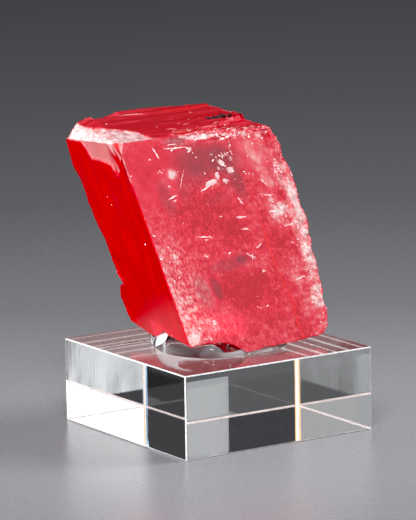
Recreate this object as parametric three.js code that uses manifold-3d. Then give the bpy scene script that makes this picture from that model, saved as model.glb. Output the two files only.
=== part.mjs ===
// A rhodochrosite cleavage rhomb, held by a pad of clear mounting gel on a clear acrylic block.
//
// Units are millimetres, +Z is up. The origin is the centre of the block's underside, +X runs
// along the block's front side and +Y to its back. Places on the crystal are given as
// [across, down, back]: distances along its three cleavage edges from its front top left corner.

import * as THREE from 'three';
import { mergeVertices } from 'three/addons/utils/BufferGeometryUtils.js';
import Module from 'manifold-3d';

// ---- Driving dimensions -------------------------------------------------------------------

const BLOCK_SIDE = 50;
const BLOCK_HEIGHT = 19;
const BLOCK_EDGE_BREAK = 0.35;
const CONTACT_GAP = 0.3;

// The unbroken rhomb: where its front top left corner stands, and how its edges run.
const RHOMB_CORNER = new THREE.Vector3(-28.8, -5.0, 68.3);
const ACROSS_EDGE = new THREE.Vector3(0.9973, 0.0737, 0.0055).normalize();
const DOWN_EDGE = new THREE.Vector3(0.2306, -0.2281, -0.9459).normalize();
const ACUTE_CORNER_DEGREES = 77;
const CUTTER_REACH = 60;
const RHOMB_DEPTH = 40;
const SIDE_MARGIN = 5;

// A place well inside the crystal, which tells the kept side of a cut from the lost one.
const HEART_OF_CRYSTAL = [21, 25, 16];

const GEL_HEIGHT = 5;
const GEL_RIM_ROUND = 1.6;
const GEL_SET_BACK = 0.4;
const GEL_RIM_SEGMENTS = 4;
const GEL_OUTLINE_STEPS = 40;

const wasm = await Module();
wasm.setup();

// ---- Materials ----------------------------------------------------------------------------

const rhodochrosite = new THREE.MeshStandardMaterial({
  name: 'rhodochrosite',
  color: 0xd0182c,
  roughness: 0.3,
  metalness: 0,
});

const clearAcrylic = new THREE.MeshStandardMaterial({
  name: 'clear_acrylic',
  color: 0xeef2f3,
  roughness: 0.05,
  metalness: 0,
  transparent: true,
  opacity: 0.35,
});

const clearGel = new THREE.MeshStandardMaterial({
  name: 'clear_gel',
  color: 0xf4f6f6,
  roughness: 0.12,
  metalness: 0,
  transparent: true,
  opacity: 0.5,
});

// ---- Solids: from a three.js geometry to a manifold and back ------------------------------

function solidFrom(geometry) {
  const bare = geometry.clone();
  bare.deleteAttribute('normal');
  bare.deleteAttribute('uv');
  const merged = mergeVertices(bare, 1e-4);
  return new wasm.Manifold(
    new wasm.Mesh({
      numProp: 3,
      vertProperties: new Float32Array(merged.attributes.position.array),
      triVerts: new Uint32Array(merged.index.array),
    }),
  );
}

function geometryFrom(solid) {
  const { vertProperties, triVerts } = solid.getMesh();
  const geometry = new THREE.BufferGeometry();
  geometry.setAttribute('position', new THREE.BufferAttribute(vertProperties, 3));
  geometry.setIndex(new THREE.BufferAttribute(triVerts, 1));
  return geometry;
}

// ---- The crystal's own frame --------------------------------------------------------------

// The third edge is fixed by the rhomb's face angles: acute to the first, obtuse to the second.
function thirdEdge(first, second) {
  const toFirst = Math.cos(THREE.MathUtils.degToRad(ACUTE_CORNER_DEGREES));
  const toSecond = -toFirst;
  const shared = first.dot(second);
  const alongFirst = (toFirst - shared * toSecond) / (1 - shared * shared);
  const alongSecond = (toSecond - shared * toFirst) / (1 - shared * shared);
  const inPlane = first
    .clone()
    .multiplyScalar(alongFirst)
    .addScaledVector(second, alongSecond);
  const outOfPlane = new THREE.Vector3().crossVectors(first, second).normalize();
  return inPlane.addScaledVector(outOfPlane, Math.sqrt(1 - inPlane.lengthSq()));
}

const BACK_EDGE = thirdEdge(ACROSS_EDGE, DOWN_EDGE);
const rhombFrame = new THREE.Matrix4()
  .makeBasis(ACROSS_EDGE, DOWN_EDGE, BACK_EDGE)
  .setPosition(RHOMB_CORNER);

const onCrystal = ([across, down, back]) =>
  new THREE.Vector3(across, down, back).applyMatrix4(rhombFrame);

// An outline of [x, y] points pushed along z from one depth to another.
function prism(outline, from, to) {
  const shape = new THREE.Shape(outline.map(([x, y]) => new THREE.Vector2(x, y)));
  const geometry = new THREE.ExtrudeGeometry(shape, { depth: to - from, bevelEnabled: false });
  return geometry.translate(0, 0, from);
}

// Outline points are [across, down]; the prism runs back through the crystal.
function frontPrism(outline, fromBack, toBack) {
  return solidFrom(prism(outline, fromBack, toBack).applyMatrix4(rhombFrame));
}

// Outline points are [back, down]; the prism runs across the crystal.
function sidePrism(outline, fromAcross, toAcross) {
  const turned = new THREE.Matrix4().makeBasis(
    new THREE.Vector3(0, 0, 1),
    new THREE.Vector3(0, 1, 0),
    new THREE.Vector3(-1, 0, 0),
  );
  const geometry = prism(outline, -toAcross, -fromAcross).applyMatrix4(turned);
  return solidFrom(geometry.applyMatrix4(rhombFrame));
}

// Everything beyond the plane through three places on the crystal, as one thick slab.
function slabBeyond(placeA, placeB, placeC) {
  const corners = [placeA, placeB, placeC].map(onCrystal);
  const plane = new THREE.Plane().setFromCoplanarPoints(...corners);
  if (plane.distanceToPoint(onCrystal(HEART_OF_CRYSTAL)) > 0) {
    plane.negate();
  }
  const slab = new THREE.BoxGeometry(3 * CUTTER_REACH, 3 * CUTTER_REACH, CUTTER_REACH);
  slab.translate(0, 0, CUTTER_REACH / 2);
  const facing = new THREE.Quaternion().setFromUnitVectors(
    new THREE.Vector3(0, 0, 1),
    plane.normal,
  );
  slab.applyQuaternion(facing);
  const middle = corners[0].clone().add(corners[1]).add(corners[2]).divideScalar(3);
  return solidFrom(slab.translate(middle.x, middle.y, middle.z));
}

// A cleavage block to remove, between two opposite corners.
function cleavageBlock([across0, down0, back0], [across1, down1, back1]) {
  const outline = [
    [across0, down0],
    [across1, down0],
    [across1, down1],
    [across0, down1],
  ];
  return frontPrism(outline, back0, back1);
}

// ---- The crystal --------------------------------------------------------------------------

// The front face: straight along the top and left, ragged down the right, [across, down].
const FRONT_OUTLINE = [
  [0, 0],
  [42.9, 0],
  [42.9, 2.8],
  [43.8, 4.2],
  [43.9, 5.8],
  [43.4, 9.1],
  [44.4, 11.4],
  [44.1, 17.1],
  [43.8, 18.5],
  [43.8, 20.7],
  [44.2, 22.6],
  [43.9, 25.1],
  [43.2, 26.8],
  [43.1, 28.5],
  [42.5, 30.6],
  [42.2, 35.7],
  [41.8, 38.2],
  [40.9, 42.6],
  [40.7, 45.1],
  [40.1, 47.0],
  [39.2, 49.2],
  [37.7, 50.4],
  [36.2, 51.0],
  [29.3, 51.3],
  [24.0, 51.5],
  [15.7, 51.8],
  [0, 51.8],
];

// The left face seen square on: [back, down], down the back edge and along the foot.
const SIDE_OUTLINE = [
  [-1, -1],
  [30.8, -1],
  [31.2, 0.4],
  [33.8, 5.2],
  [35.6, 12.4],
  [33.6, 15.4],
  [33.8, 21.3],
  [33.2, 25.7],
  [31.4, 29.8],
  [31.4, 32.0],
  [32.0, 37.6],
  [30.4, 39.4],
  [33.2, 41.0],
  [35.1, 44.0],
  [34.8, 47.2],
  [33.8, 50.2],
  [24.8, 51.0],
  [10.0, 53.0],
  [-1, 53.0],
];

// Broken or slanting surfaces, each by three places that lie on it.
const BROKEN_PLANES = [
  // the break between the top and the left face: its steep lower part, then its flat upper part
  [[0.4, 0, 0], [0, 5.2, 33.7], [3.3, 1.5, 31.8]],
  [[0.8, 0, 0], [3.3, 1.3, 31.7], [7.0, 0.3, 31]],
  // the front corner where that break starts
  [[1.5, 0, -0.4], [-0.2, 3.2, 0], [0.4, 0, 4.5]],
  // the right side, which turns inwards towards the back
  [[42.95, 0, 0], [44.8, 10.7, 0], [38.8, 0, 28]],
  [[45.2, 11, 0], [42.3, 41, 0], [41.4, 11, 33]],
  // the back, drawn in towards the right
  [[20, 0, 31.6], [42, 0, 26.8], [42, 50, 29.5]],
  // the underside, rising to the back
  [[16, 51.8, 0], [31, 51.2, 0], [16, 50.3, 20]],
];

// Cleavage steps along the front of the top face, each [nearer corner, farther corner].
const TOP_STEPS = [
  [[16.8, -2, -2], [60, 0.4, 2.6]],
  [[24.5, -2, -2], [60, 0.75, 4.6]],
  [[30.5, -2, -2], [60, 1.1, 7.4]],
  [[35.5, -2, -2], [60, 1.4, 11.2]],
];

// Pieces broken out of the edges, each an outline of [across, down] pushed back through a depth.
const EDGE_CHIPS = [
  // a dip in the top edge at the back
  {
    outline: [[7.2, -2], [7.6, 0.7], [8.7, 1.4], [11.3, 1.0], [14.8, 0.1], [15.2, -2]],
    from: 27,
    to: 40,
  },
  // the curved bite out of the foot of the front face
  {
    outline: [
      [-5, 48.3],
      [8.6, 48.4],
      [10.1, 48.9],
      [11.7, 49.6],
      [13.0, 50.5],
      [14.4, 51.8],
      [14.6, 60],
      [-5, 60],
    ],
    from: -2,
    to: 2.6,
  },
  // and behind it, narrower, where the underside shows below the bite
  { outline: [[-5, 48.2], [6.0, 48.2], [9.6, 51.2], [9.8, 60], [-5, 60]], from: 2, to: 9 },
];

// The notch that the gel climbs into: an outline of [back, down] cut in from the left face.
const GEL_NOTCH = [
  [7, 48.2],
  [9.6, 48.3],
  [14.3, 47.7],
  [17.8, 49.5],
  [21.9, 51.0],
  [22.5, 60],
  [7, 60],
];
const GEL_NOTCH_REACH = 7;

function buildCrystal() {
  let crystal = frontPrism(FRONT_OUTLINE, 0, RHOMB_DEPTH);
  crystal = crystal.intersect(sidePrism(SIDE_OUTLINE, -SIDE_MARGIN, CUTTER_REACH));
  for (const places of BROKEN_PLANES) {
    crystal = crystal.subtract(slabBeyond(...places));
  }
  for (const [near, far] of TOP_STEPS) {
    crystal = crystal.subtract(cleavageBlock(near, far));
  }
  for (const { outline, from, to } of EDGE_CHIPS) {
    crystal = crystal.subtract(frontPrism(outline, from, to));
  }
  return crystal.subtract(sidePrism(GEL_NOTCH, -SIDE_MARGIN, GEL_NOTCH_REACH));
}

// ---- The mounting gel ---------------------------------------------------------------------

// A pressed puddle: its rim as it lies on the block, [x, y].
const GEL_RIM = [
  [-9.7, 11.9],
  [-13.4, 5.2],
  [-15.5, -1.6],
  [-14.9, -7.0],
  [-12.2, -12.2],
  [-7.2, -14.8],
  [-1.2, -15.2],
  [4.2, -15.2],
  [9.0, -13.2],
  [12.6, -9.6],
  [14.0, -2.0],
  [11.0, 7.0],
  [2.0, 12.2],
];

// Three places on the plane that bounds the gel in front: the crystal's front face, set back.
const GEL_FRONT = [
  [0, 0, GEL_SET_BACK],
  [CUTTER_REACH, 0, GEL_SET_BACK],
  [0, CUTTER_REACH, GEL_SET_BACK],
];

// The gel keeps the contact gap to the crystal above it and on all four sides.
const GEL_CLEARANCES = [
  [0, 0, -CONTACT_GAP],
  [CONTACT_GAP, 0, 0],
  [-CONTACT_GAP, 0, 0],
  [0, CONTACT_GAP, 0],
  [0, -CONTACT_GAP, 0],
];

// The puddle is widest where it meets the block, so its lower rounding is cut away there. None
// of it stands in front of the crystal's front face.
function buildGel(crystal) {
  const loop = GEL_RIM.map(([x, y]) => new THREE.Vector3(x, y, 0));
  const smooth = new THREE.CatmullRomCurve3(loop, true).getSpacedPoints(GEL_OUTLINE_STEPS);
  smooth.pop();
  const shape = new THREE.Shape(smooth.map(({ x, y }) => new THREE.Vector2(x, y)));
  const puddle = new THREE.ExtrudeGeometry(shape, {
    depth: GEL_HEIGHT - GEL_RIM_ROUND,
    bevelThickness: GEL_RIM_ROUND,
    bevelSize: GEL_RIM_ROUND,
    bevelOffset: -GEL_RIM_ROUND,
    bevelSegments: GEL_RIM_SEGMENTS,
  });
  const seat = BLOCK_HEIGHT + CONTACT_GAP;
  puddle.translate(0, 0, seat);
  const underSeat = new THREE.BoxGeometry(BLOCK_SIDE, BLOCK_SIDE, GEL_HEIGHT);
  underSeat.translate(0, 0, seat - GEL_HEIGHT / 2);
  let gel = solidFrom(puddle).subtract(solidFrom(underSeat)).subtract(slabBeyond(...GEL_FRONT));
  for (const clearance of GEL_CLEARANCES) {
    gel = gel.subtract(crystal.translate(clearance));
  }
  return gel;
}

// ---- The acrylic block --------------------------------------------------------------------

function buildBlock() {
  const half = BLOCK_SIDE / 2 - BLOCK_EDGE_BREAK;
  const corners = [[-half, -half], [half, -half], [half, half], [-half, half]];
  const shape = new THREE.Shape(corners.map(([x, y]) => new THREE.Vector2(x, y)));
  const block = new THREE.ExtrudeGeometry(shape, {
    depth: BLOCK_HEIGHT - 2 * BLOCK_EDGE_BREAK,
    bevelThickness: BLOCK_EDGE_BREAK,
    bevelSize: BLOCK_EDGE_BREAK,
    bevelSegments: 1,
  });
  return block.translate(0, 0, BLOCK_EDGE_BREAK);
}

// ---- The specimen -------------------------------------------------------------------------

function namedMesh(name, geometry, material) {
  const mesh = new THREE.Mesh(geometry, material);
  mesh.name = name;
  return mesh;
}

const crystalSolid = buildCrystal();

const group = new THREE.Group();
group.add(namedMesh('acrylic_block', buildBlock(), clearAcrylic));
group.add(namedMesh('mounting_gel', geometryFrom(buildGel(crystalSolid)), clearGel));
group.add(namedMesh('rhodochrosite_crystal', geometryFrom(crystalSolid), rhodochrosite));

export default group;
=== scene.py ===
# %% [markdown]
# # A rhodochrosite rhomb on a clear acrylic block
#
# The object is a cleavage rhomb of rhodochrosite, a red manganese carbonate, about 50 mm tall. A pad
# of clear gel holds it, tilted, on a polished block of acrylic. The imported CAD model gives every
# size and place. This script keeps those and makes the surfaces: the cleavage steps, the bruised
# faces, the see-through block and the gel, and then the light they stand in.

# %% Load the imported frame
import math
import random

import bmesh
import bpy
from mathutils import Matrix, Vector, noise
from mathutils.bvhtree import BVHTree


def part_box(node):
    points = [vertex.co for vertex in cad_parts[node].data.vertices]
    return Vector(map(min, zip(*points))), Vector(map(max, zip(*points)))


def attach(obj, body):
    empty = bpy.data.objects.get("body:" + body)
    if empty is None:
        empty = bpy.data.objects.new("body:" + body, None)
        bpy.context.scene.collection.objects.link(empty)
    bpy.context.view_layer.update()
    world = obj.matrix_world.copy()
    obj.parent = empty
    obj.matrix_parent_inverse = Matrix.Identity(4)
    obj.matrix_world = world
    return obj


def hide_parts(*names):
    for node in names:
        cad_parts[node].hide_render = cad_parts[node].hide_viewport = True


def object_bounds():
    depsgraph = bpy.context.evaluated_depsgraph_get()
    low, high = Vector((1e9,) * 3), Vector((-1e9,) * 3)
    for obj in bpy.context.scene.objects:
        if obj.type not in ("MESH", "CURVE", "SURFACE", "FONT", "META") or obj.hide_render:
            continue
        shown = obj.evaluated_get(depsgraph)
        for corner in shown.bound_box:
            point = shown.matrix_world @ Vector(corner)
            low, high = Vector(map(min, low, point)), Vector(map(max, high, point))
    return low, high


# One millimetre, in Blender's metres.
MM = 0.001

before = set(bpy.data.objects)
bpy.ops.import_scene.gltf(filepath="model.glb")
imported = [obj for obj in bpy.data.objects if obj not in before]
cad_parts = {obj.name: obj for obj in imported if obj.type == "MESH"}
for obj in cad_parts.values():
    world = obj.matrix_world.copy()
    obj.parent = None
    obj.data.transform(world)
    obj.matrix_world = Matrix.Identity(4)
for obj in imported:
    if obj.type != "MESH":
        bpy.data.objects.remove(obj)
cad_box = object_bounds()
block_low, block_high = (Vector(corner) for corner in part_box("acrylic_block"))
gel_low, gel_high = (Vector(corner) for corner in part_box("mounting_gel"))
print("CAD box in mm:", [[round(value / MM, 1) for value in corner] for corner in cad_box])
print("gel pad in mm:", [round(value / MM, 1) for value in gel_high - gel_low])

scene = bpy.context.scene

# %% [markdown]
# ## The crystal's own frame
#
# A rhomb has three pairs of parallel cleavage faces, so every mark on it is easiest to place along
# its three edges. They could be typed in as numbers. Here they are read from the CAD solid: the
# largest flat face that looks to the front, to the left and up are the three cleavage planes, each
# edge is where two of them meet, and the corner is where all three do.


# %% Find the three cleavage planes
def merged_copy(node_name):
    """A CAD node's loose triangles, joined at their corners, as a bmesh."""
    loose = bpy.data.objects[node_name].data
    joined = bmesh.new()
    joined.from_mesh(loose)
    bmesh.ops.remove_doubles(joined, verts=joined.verts, dist=0.001 * MM)
    return joined


def largest_plane(solid, towards):
    """The flat face with the most area among those that look towards a direction."""
    areas = {}
    for face in solid.faces:
        if face.normal.dot(towards) > 0.85:
            offset = face.normal.dot(face.calc_center_median())
            key = tuple(round(value, 3) for value in face.normal) + (round(offset, 5),)
            area, normal, _ = areas.get(key, (0.0, face.normal.copy(), offset))
            areas[key] = (area + face.calc_area(), normal, offset)
    area, normal, offset = max(areas.values(), key=lambda found: found[0])
    return normal, offset


crystal_solid = merged_copy("rhodochrosite_crystal")
front_normal, front_offset = largest_plane(crystal_solid, Vector((0, -1, 0)))
left_normal, left_offset = largest_plane(crystal_solid, Vector((-1, 0, 0)))
top_normal, top_offset = largest_plane(crystal_solid, Vector((0, 0, 1)))

across = top_normal.cross(front_normal).normalized()
down = left_normal.cross(front_normal).normalized()
back = top_normal.cross(left_normal).normalized()
across *= math.copysign(1, across.x)
down *= math.copysign(1, -down.z)
back *= math.copysign(1, back.y)

planes = Matrix((front_normal, left_normal, top_normal))
rhomb_corner = planes.inverted() @ Vector((front_offset, left_offset, top_offset))
rhomb_frame = Matrix.Translation(rhomb_corner) @ Matrix((across, down, back)).transposed().to_4x4()
rhomb_inverse = rhomb_frame.inverted()
print("rhomb corner in mm:", [round(value / MM, 2) for value in rhomb_corner])
print("edges:", [[round(value, 4) for value in edge] for edge in (across, down, back)])

# %% [markdown]
# ## Camera
#
# The specimen is small and is seen from some distance through a long lens, which keeps its edges
# nearly parallel. The camera looks just above the object's middle, from the left of the front and a
# little from above. Its place is worked out from two angles and a distance, because they are easy to
# reason about, and it has a slight roll of its own.

# %% Place the camera
CAMERA_AZIMUTH = math.radians(-33.37)
CAMERA_ELEVATION = math.radians(11.01)
CAMERA_ROLL = math.radians(-0.92)
CAMERA_DISTANCE = 857.55 * MM
CAMERA_LENS = 263.6
AIM_ABOVE_MIDDLE = Vector((0.16, -0.58, 3.2)) * MM

middle = (Vector(cad_box[0]) + Vector(cad_box[1])) / 2
aim = middle + AIM_ABOVE_MIDDLE
flat = math.cos(CAMERA_ELEVATION)
to_camera = Vector(
    (
        math.sin(CAMERA_AZIMUTH) * flat,
        -math.cos(CAMERA_AZIMUTH) * flat,
        math.sin(CAMERA_ELEVATION),
    )
)
level_right = Vector((math.cos(CAMERA_AZIMUTH), math.sin(CAMERA_AZIMUTH), 0))
level_up = to_camera.cross(level_right)
right = math.cos(CAMERA_ROLL) * level_right + math.sin(CAMERA_ROLL) * level_up
up = -math.sin(CAMERA_ROLL) * level_right + math.cos(CAMERA_ROLL) * level_up

camera_data = bpy.data.cameras.new("camera")
camera_data.lens = CAMERA_LENS
camera_data.clip_start = 0.01
camera_data.clip_end = 20
camera = bpy.data.objects.new("camera", camera_data)
turn = Matrix((right, up, to_camera)).transposed().to_4x4()
camera.matrix_world = Matrix.Translation(aim + to_camera * CAMERA_DISTANCE) @ turn
scene.collection.objects.link(camera)
scene.camera = camera
print("camera in mm:", [round(value / MM) for value in camera.matrix_world.translation])

# %% [markdown]
# ## Helpers for meshes
#
# Every piece here is a mesh made from lists of places, or taken from an evaluated modifier. Blender
# needs the same few calls each time: make the mesh, shade it, give it a material, link its object.
# Two helpers do that, and a third stores a painted value on each vertex or face, which a material can
# read by its name.


# %% Helpers for meshes
def mesh_object(name, verts, faces, material=None, smooth_angle=None):
    """A new object from lists of places and faces, in metres, in the CAD model's frame."""
    mesh = bpy.data.meshes.new(name)
    mesh.from_pydata([tuple(place) for place in verts], [], faces)
    return finished_object(name, mesh, material, smooth_angle)


def finished_object(name, mesh, material=None, smooth_angle=None):
    """Puts a mesh in the scene, smooth where its faces meet at less than an angle."""
    mesh.validate()
    if smooth_angle is not None:
        mesh.polygons.foreach_set("use_smooth", [True] * len(mesh.polygons))
        mesh.set_sharp_from_angle(angle=math.radians(smooth_angle))
    if material is not None:
        mesh.materials.clear()
        mesh.materials.append(material)
    made = bpy.data.objects.new(name, mesh)
    scene.collection.objects.link(made)
    return made


def paint(mesh, name, kind, values, domain="POINT"):
    """Stores one value for each vertex or face of a mesh, under a name."""
    field = {"FLOAT": "value", "FLOAT_VECTOR": "vector", "FLOAT_COLOR": "color"}[kind]
    if kind != "FLOAT":
        values = [part for value in values for part in value]
    mesh.attributes.new(name, kind, domain).data.foreach_set(field, values)


def smoothstep(low, high, value):
    """0 below low, 1 above high, and a smooth rise between them."""
    share = min(1.0, max(0.0, (value - low) / (high - low)))
    return share * share * (3 - 2 * share)


# %% [markdown]
# ## Helpers for node trees
#
# A finish is a small tree of nodes. Written out in full, each node takes a line to make it and a line
# for each link. With `add`, a node is one call whose inputs are values or other nodes' outputs, so a
# tree reads from its inputs to its result.


# %% Helpers for node trees
def new_material(name):
    """A material with its Principled shader, and its node tree."""
    material = bpy.data.materials.new(name)
    material.use_nodes = True
    tree = material.node_tree
    return material, tree, tree.nodes["Principled BSDF"]


def add(tree, kind, settings=None, **inputs):
    """A node with its settings and inputs. An input is a value, or an output that is linked to it."""
    node = tree.nodes.new(kind)
    for key, value in (settings or {}).items():
        setattr(node, key, value)
    feed(tree, [node.inputs[key.replace("_", " ")] for key in inputs], inputs.values())
    return node


def feed(tree, sockets, values):
    """Gives each input socket its value, or a link to the output that it takes its value from."""
    for socket, value in zip(sockets, values):
        if isinstance(value, bpy.types.NodeSocket):
            tree.links.new(value, socket)
        elif value is not None:
            socket.default_value = value


def math_node(tree, operation, first, second=None, third=None, clamp=False):
    """A Math node's output."""
    node = add(tree, "ShaderNodeMath", {"operation": operation, "use_clamp": clamp})
    feed(tree, node.inputs, (first, second, third))
    return node.outputs[0]


def vector_node(tree, operation, first, second=None):
    """A Vector Math node."""
    node = add(tree, "ShaderNodeVectorMath", {"operation": operation})
    feed(tree, node.inputs, (first, second))
    return node


def mix_colour(tree, share, first, second, blend="MIX"):
    """A Mix node's colour output."""
    node = add(tree, "ShaderNodeMix", {"data_type": "RGBA", "blend_type": blend})
    feed(tree, (node.inputs["Factor"], node.inputs[6], node.inputs[7]), (share, first, second))
    return node.outputs[2]


def ranged(tree, value, low, high, to_low=0.0, to_high=1.0):
    """A Map Range node's output, smooth and clamped."""
    node = add(
        tree,
        "ShaderNodeMapRange",
        {"interpolation_type": "SMOOTHSTEP", "clamp": True},
        Value=value,
        From_Min=low,
        From_Max=high,
        To_Min=to_low,
        To_Max=to_high,
    )
    return node.outputs[0]


def ramp(tree, value, stops):
    """A Color Ramp node's colour. Each stop is a position and a colour."""
    node = add(tree, "ShaderNodeValToRGB", Fac=value)
    elements = node.color_ramp.elements
    for number, (position, colour) in enumerate(stops):
        stop = elements[number] if number < 2 else elements.new(position)
        stop.position = position
        stop.color = (*colour, 1)
    return node.outputs["Color"]


def object_place(tree):
    """A surface's place in the object's own metres."""
    return add(tree, "ShaderNodeTexCoord").outputs["Object"]


# %% [markdown]
# ## Fine grain, shared by the finishes
#
# The floor's speckle, the scraped edges of the acrylic, the mottling of the stone and the flakes are
# one effect at several scales: soft noise, stretched until it has contrast. It is built once, as a
# node group with named inputs, and each material places it with values of its own. It puts out the
# noise itself, for bump, and the noise as a share from 0 to 1, for mixing colours.


# %% Grain group
def grain_group():
    """Noise, and the same noise as a smooth share between a low and a high level."""
    tree = bpy.data.node_groups.new("fine_grain", "ShaderNodeTree")
    tree.interface.new_socket("Place", in_out="INPUT", socket_type="NodeSocketVector")
    for name in ("Scale", "Detail", "Roughness", "Low", "High"):
        tree.interface.new_socket(name, in_out="INPUT", socket_type="NodeSocketFloat")
    for name in ("Noise", "Share"):
        tree.interface.new_socket(name, in_out="OUTPUT", socket_type="NodeSocketFloat")
    given = tree.nodes.new("NodeGroupInput").outputs
    result = tree.nodes.new("NodeGroupOutput").inputs
    cloud = add(
        tree,
        "ShaderNodeTexNoise",
        Vector=given["Place"],
        Scale=given["Scale"],
        Detail=given["Detail"],
        Roughness=given["Roughness"],
    )
    share = ranged(tree, cloud.outputs["Fac"], given["Low"], given["High"])
    feed(tree, (result["Noise"], result["Share"]), (cloud.outputs["Fac"], share))
    return tree


FINE_GRAIN = grain_group()


def grain(tree, place, scale, detail, low, high, roughness=0.5):
    """The shared grain's outputs, at one scale."""
    node = add(tree, "ShaderNodeGroup", {"node_tree": FINE_GRAIN})
    names = ("Place", "Scale", "Detail", "Roughness", "Low", "High")
    feed(tree, [node.inputs[name] for name in names], (place, scale, detail, roughness, low, high))
    return node.outputs


print("grain outputs:", [item.name for item in FINE_GRAIN.interface.items_tree if item.in_out == "OUTPUT"])

# %% [markdown]
# ## World
#
# What lies all round a clear, glossy object shows in it, so the world matters more here than for a
# matt one. An image of a studio could surround it. A plain gradient, dark at the level of the floor
# and pale overhead, does the same with three nodes, and keeps the upright faces dark and clear. The
# view transform is the plain one, which leaves the colours as they are given. Only the black point is
# raised a little, which deepens the shadows.

# %% World
FLOOR_RADIUS = 4.0
FLOOR_DROP = 0.05 * MM
BLACK_POINT = 0.02
SKY_STOPS = ((0.25, (0.055, 0.055, 0.06)), (0.9, (0.55, 0.56, 0.58)))

world = bpy.data.worlds.new("studio")
scene.world = world
world.use_nodes = True
world_tree = world.node_tree
direction = add(world_tree, "ShaderNodeTexCoord").outputs["Generated"]
height = add(world_tree, "ShaderNodeSeparateXYZ", Vector=direction).outputs["Z"]
world_tree.links.new(ramp(world_tree, height, SKY_STOPS), world_tree.nodes["Background"].inputs["Color"])

scene.view_settings.view_transform = "Standard"
scene.view_settings.look = "None"
scene.view_settings.use_curve_mapping = True
scene.view_settings.curve_mapping.black_level = (BLACK_POINT,) * 3
print("sky stops:", len(SKY_STOPS))

# %% [markdown]
# ## Floor
#
# The specimen stands on a sheet of grey, slightly glossy board that fades into the dark behind. The
# fade could come from a lamp alone, but it would then change with every other lamp. Here it is painted
# light: the board's grey falls off with the distance from the specimen. A fine speckle and bump break
# up the reflection. The floor lies a hair under the block, so that the two surfaces don't touch.

# %% Floor
# Painted falloff of the light: how grey the floor is, by the distance in metres from the specimen.
PAINTED_FLOOR_FALLOFF = (
    (0.0, 0.275),
    (0.06, 0.248),
    (0.10, 0.213),
    (0.14, 0.168),
    (0.29, 0.106),
    (0.50, 0.080),
    (0.80, 0.063),
)
FLOOR_CORNERS = ((-1, -1), (1, -1), (1, 1), (-1, 1))

floor_material, floor_tree, floor_shader = new_material("studio_floor")
place = object_place(floor_tree)
flat_place = vector_node(floor_tree, "MULTIPLY", place, (1, 1, 0)).outputs[0]
reach = vector_node(floor_tree, "LENGTH", flat_place).outputs["Value"]
# The falloff of the light, painted into the floor's grey.
painted_falloff = ramp(floor_tree, reach, [(far, (grey, grey * 1.005, grey * 1.07)) for far, grey in PAINTED_FLOOR_FALLOFF])
speckle = grain(floor_tree, place, 900.0, 3.0, 0.35, 0.65)
speckle_shade = ranged(floor_tree, speckle["Noise"], 0.35, 0.65, 0.93, 1.07)
floor_colour = mix_colour(floor_tree, 1.0, painted_falloff, speckle_shade, "MULTIPLY")
floor_tree.links.new(floor_colour, floor_shader.inputs["Base Color"])
floor_shader.inputs["Roughness"].default_value = 0.3
floor_bump = add(floor_tree, "ShaderNodeBump", Height=speckle["Noise"], Strength=0.2, Distance=0.0002)
floor_tree.links.new(floor_bump.outputs["Normal"], floor_shader.inputs["Normal"])

floor = mesh_object(
    "studio_floor",
    [(x * FLOOR_RADIUS, y * FLOOR_RADIUS, -FLOOR_DROP) for x, y in FLOOR_CORNERS],
    [(0, 1, 2, 3)],
    floor_material,
)
print("floor side in m:", 2 * FLOOR_RADIUS)

# %% [markdown]
# ## Lights
#
# Red stone needs soft light from several sides: two panels for the front face, one for the left face,
# which would otherwise be the dark side, and two weak ones behind for the top. Each softbox is an area
# light that is placed by its compass angle and height and faces the specimen. A separate wash lights
# the floor only, through light linking, and two of the stone's panels leave the floor out, so that
# the floor's grey can be set nearly by itself.


# %% Lights
def softbox(name, azimuth, elevation, distance, width, height, brightness):
    """A soft panel of an even brightness that faces the specimen and isn't seen by the camera."""
    data = bpy.data.lights.new(name, "AREA")
    data.shape = "RECTANGLE"
    data.size = width
    data.size_y = height
    data.energy = brightness * math.pi * width * height
    lamp = bpy.data.objects.new(name, data)
    low = math.radians(elevation)
    round_by = math.radians(azimuth)
    towards = Vector((math.cos(low) * math.cos(round_by), math.cos(low) * math.sin(round_by), math.sin(low)))
    lamp.location = middle + towards * distance
    lamp.rotation_euler = towards.to_track_quat("Z", "Y").to_euler()
    lamp.visible_camera = False
    scene.collection.objects.link(lamp)
    return lamp


def light_only(lamp, receiver, state):
    """Links a lamp to one object, so that it lights only that object or all but that object."""
    group = bpy.data.collections.new(lamp.name + "_" + state.lower())
    group.objects.link(receiver)
    group.collection_objects[0].light_linking.link_state = state
    lamp.light_linking.receiver_collection = group


# Azimuth and elevation in degrees; distance, width and height in metres; brightness.
SOFTBOXES = {
    "key_right": (-50, 18, 0.9, 0.8, 0.75, 2.0),
    "key_front": (-125, 40, 0.8, 0.4, 0.4, 15.0),
    "fill_left": (182, 12, 0.8, 0.6, 0.6, 14.5),
    "back_top": (80, 62, 0.8, 0.5, 0.4, 1.6),
    "back_left": (123, 16, 0.9, 0.5, 0.45, 0.35),
    "floor_wash": (-20, 32, 2.5, 1.0, 1.0, 19.0),
}
lamps = {name: softbox(name, *values) for name, values in SOFTBOXES.items()}
for name in ("fill_left", "floor_wash"):
    lamps[name].visible_glossy = False
    lamps[name].visible_transmission = False
light_only(lamps["key_right"], floor, "EXCLUDE")
light_only(lamps["fill_left"], floor, "EXCLUDE")
light_only(lamps["floor_wash"], floor, "INCLUDE")
print("lamps:", ", ".join(lamps))

# %% [markdown]
# ## Cards round the block
#
# A polished block has no colour of its own. What it shows is bent or thrown back inside it, so a
# studio shapes it with small white, grey and black cards close by. The same is done here, with cards of
# painted light and shade. Each card glows on its front, is clear from behind, and is seen only by rays
# that have passed through a clear piece, so that it doesn't show or light the floor. One stands behind
# the block, a painted patch of light for its pale panel, and one beside it, a painted shadow for its
# dark one. The third stands inside the gel pad, a painted highlight for the pad's bright lens.


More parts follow.
